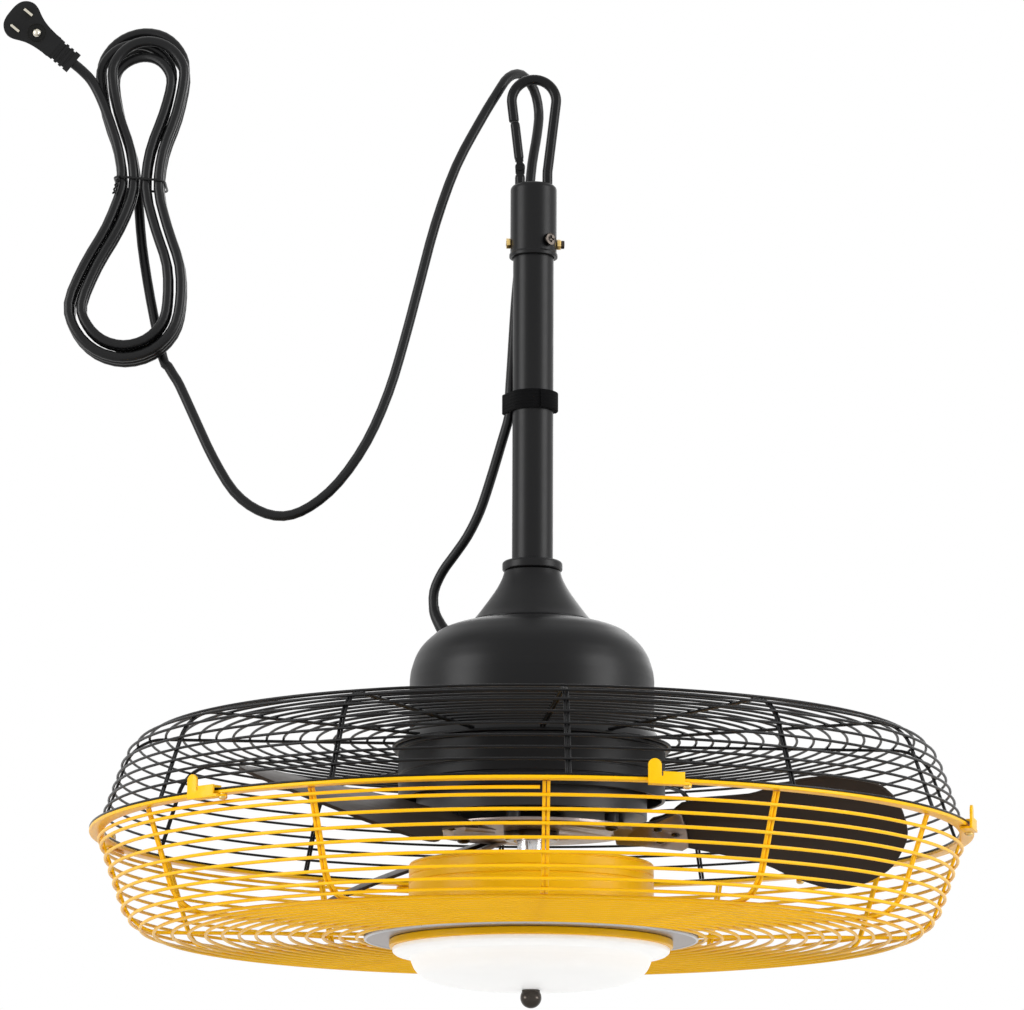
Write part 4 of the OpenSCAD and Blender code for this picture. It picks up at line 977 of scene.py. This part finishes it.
screw = spun_head([(0, 11.4), (2, 11.4), (2, 0), (3.7, 0), (3.9, -0.25), (3.8, -0.8),
                   (3.4, -1.35), (2.6, -1.8), (1.5, -2.02), (0, -2.1)])
for turn_by in (0, math.pi / 2):
    bpy.ops.object.select_all(action="DESELECT")
    bpy.ops.mesh.primitive_cube_add(size=1, location=(0, 0, -1.9 * MM),
                                    rotation=(0, 0, turn_by))
    bar = bpy.context.object
    bar.scale = CROSS
    bpy.ops.object.transform_apply(location=True, rotation=True, scale=True)
    shaped(screw, "BOOLEAN", operation="DIFFERENCE", object=bar, solver="EXACT")
    bpy.data.objects.remove(bar)
screw_places = [Matrix.Rotation(math.radians(a + 120 * k), 4, "Z")
                @ Matrix.Translation((SCREW_CIRCLE * MM, 0, (HUB_FACE + RIM_Z) * MM))
                @ Matrix.Rotation(math.radians(17 * k + a), 4, "Z")
                for k in range(3) for a in (18.8, 90)]
rivet = spun_head([(0, 3.2), (1.6, 3.2), (1.6, -1.3), (2.6, -1.3), (2.55, -1.6), (2, -1.95),
                   (1, -2.13), (0, -2.15)], 28)
rivet_places = [wing_place(k) @ Matrix.Translation((x * MM, y * MM, 0))
                for k in range(3) for x, y in ((77, -5), (77, 10), (87, 2))]
dress(join(placed_copies(screw, screw_places) + placed_copies(rivet, rivet_places)),
      "hub_screws", "dark_screw", "rotor", "blade_screws")

# %% [markdown]
# Six yellow latches clamp the two rims. They are stamped alike, so one solid gets its
# soft edges and is turned to the other five places. Each rides on its own hinge body.

# %% Latches and their rivets
latch_places = [Matrix.Rotation(math.radians(60 * k), 4, "Z") for k in range(6)]
for number, latch in enumerate(placed_copies(softened("latch_1", 0.3), latch_places), 1):
    dress(latch, f"rim_latch_{number}", "yellow_coat", f"clip_{number}", f"latch_{number}")
pin = spun_head([(0, 1.3), (1.5, 1.3), (1.5, -2.5), (2.5, -2.5), (2.5, -3), (2.1, -3.7),
                 (1.2, -4.1), (0, -4.2)], 32)
pin_places = [Matrix.Rotation(math.radians(287 + 60 * k), 4, "Z")
              @ Matrix.Translation((262.9 * MM, 9 * MM, RIM_Z * MM)) for k in range(6)]
dress(join(placed_copies(pin, pin_places)), "latch_pins", "zinc_nut", "hanging_frame",
      "latch_rivets")

# %% [markdown]
# The cord comes out of the dome through a nut and a rubber sleeve that gets thinner, so
# that the cord can't kink at the metal. The sleeve follows the cord's own curve. The
# plug has the same kind of sleeve, with ribs.

# %% Cord gland
SLEEVE, SLEEVE_START, SLEEVE_LENGTH, SLEEVE_TAPER = 8.8, 7, 24, 0.26
gland_turn = (Matrix.Translation(rim_frame([gland_seat])[0])
              @ Matrix.Rotation(GLAND_AZIMUTH, 4, "Z") @ Matrix.Rotation(GLAND_TILT, 4, "Y"))
nut = spun_head([(0, -8), (4, -8), (4, 0), (6.9, 0), (7.2, 0.4), (7.2, 2.6), (6.6, 3.1),
                 (5.7, 3.3), (5.5, 4.6), (5, 4.8), (4.9, 6), (4.6, 6.2), (4.5, 8), (3.2, 8.2),
                 (0, 8.2)], 6)
barrel = spun_head([(0, -8), (4, -8), (4, 0), (6.2, 0), (6.2, 2.9), (5.6, 3.4), (5.4, 4.6),
                    (4.9, 4.9), (4.8, 6.2), (4.4, 6.5), (4.3, 8), (3.2, 8.2), (0, 8.2)], 48)
gland_parts = placed_copies(nut, [gland_turn]) + placed_copies(barrel, [gland_turn])
sleeve_run = smooth_through(lead[:4], 5)
sleeve_points, walked = [gland_seat + SLEEVE_START * gland_way], 0.0
for place in sleeve_run:
    if (place - gland_seat).length > SLEEVE_START + 1 and walked < SLEEVE_LENGTH:
        walked += (place - sleeve_points[-1]).length
        sleeve_points.append(place)
taper = [1 - SLEEVE_TAPER * k / (len(sleeve_points) - 1) for k in range(len(sleeve_points))]
sleeve = bent_wire(sleeve_points, SLEEVE, taper)
dress(join(gland_parts + [sleeve]), "dome_gland", "black_coat", "hanging_frame",
      "cord_gland")

# %% [markdown]
# A thin wire tie holds the hank at its waist, with its two ends twisted together in
# front. The ring is a rounded rectangle that lies close round all the runs.

# %% Tie of the hank
TIE_X, TIE_Y, TWIST_R, TWIST_STEP = 15.6, 14.4, 0.8, 0.8
tie_middle = Vector((mid_x(WAIST), 3.5, WAIST - 0.8))
tilt = Matrix.Rotation(math.radians(5), 3, "Y")
ring_line = rounded([(-TIE_X, -TIE_Y), (TIE_X, -TIE_Y), (TIE_X, TIE_Y), (-TIE_X, TIE_Y)],
                    6, parts=6)
ring_points = [tie_middle + tilt @ Vector((p.x, p.y, 0)) for p in ring_line]
tie = [bent_wire(ring_points, 1.5)]
for half in (0, math.pi):
    twist = [(k, half + k * 0.9) for k in range(15)]
    tail_points = [tie_middle + tilt @ Vector((
        -12.6 + TWIST_R * math.cos(a) - 0.12 * k, -15.3 + TWIST_R * math.sin(a),
        -TWIST_STEP * k)) for k, a in twist]
    tie.append(bent_wire(tail_points, 1.2))
dress(join(tie), "hank_tie", "cord_rubber", "hanging_frame", "twist_tie")

# %% [markdown]
# The plug is moulded in one piece with its sleeve: a flat body with round shoulders, and
# ribs that let the sleeve bend. Two flat prongs and a round one stand out of it.

# %% Plug
dress(softened("plug_body", 0.7, 3), "plug_moulding", "cord_rubber", "hanging_frame",
      "plug_body")
dress(softened("plug_prongs", 0.3), "plug_pins", "prong_metal", "hanging_frame",
      "plug_prongs")

# %% [markdown]
# The tip of the gland, where the cord leaves the dome, is worked out once more in metres from the
# hang point, and nothing is done with it.

# %% Where the cord leaves the gland
rim_frame([gland_tip])[0]
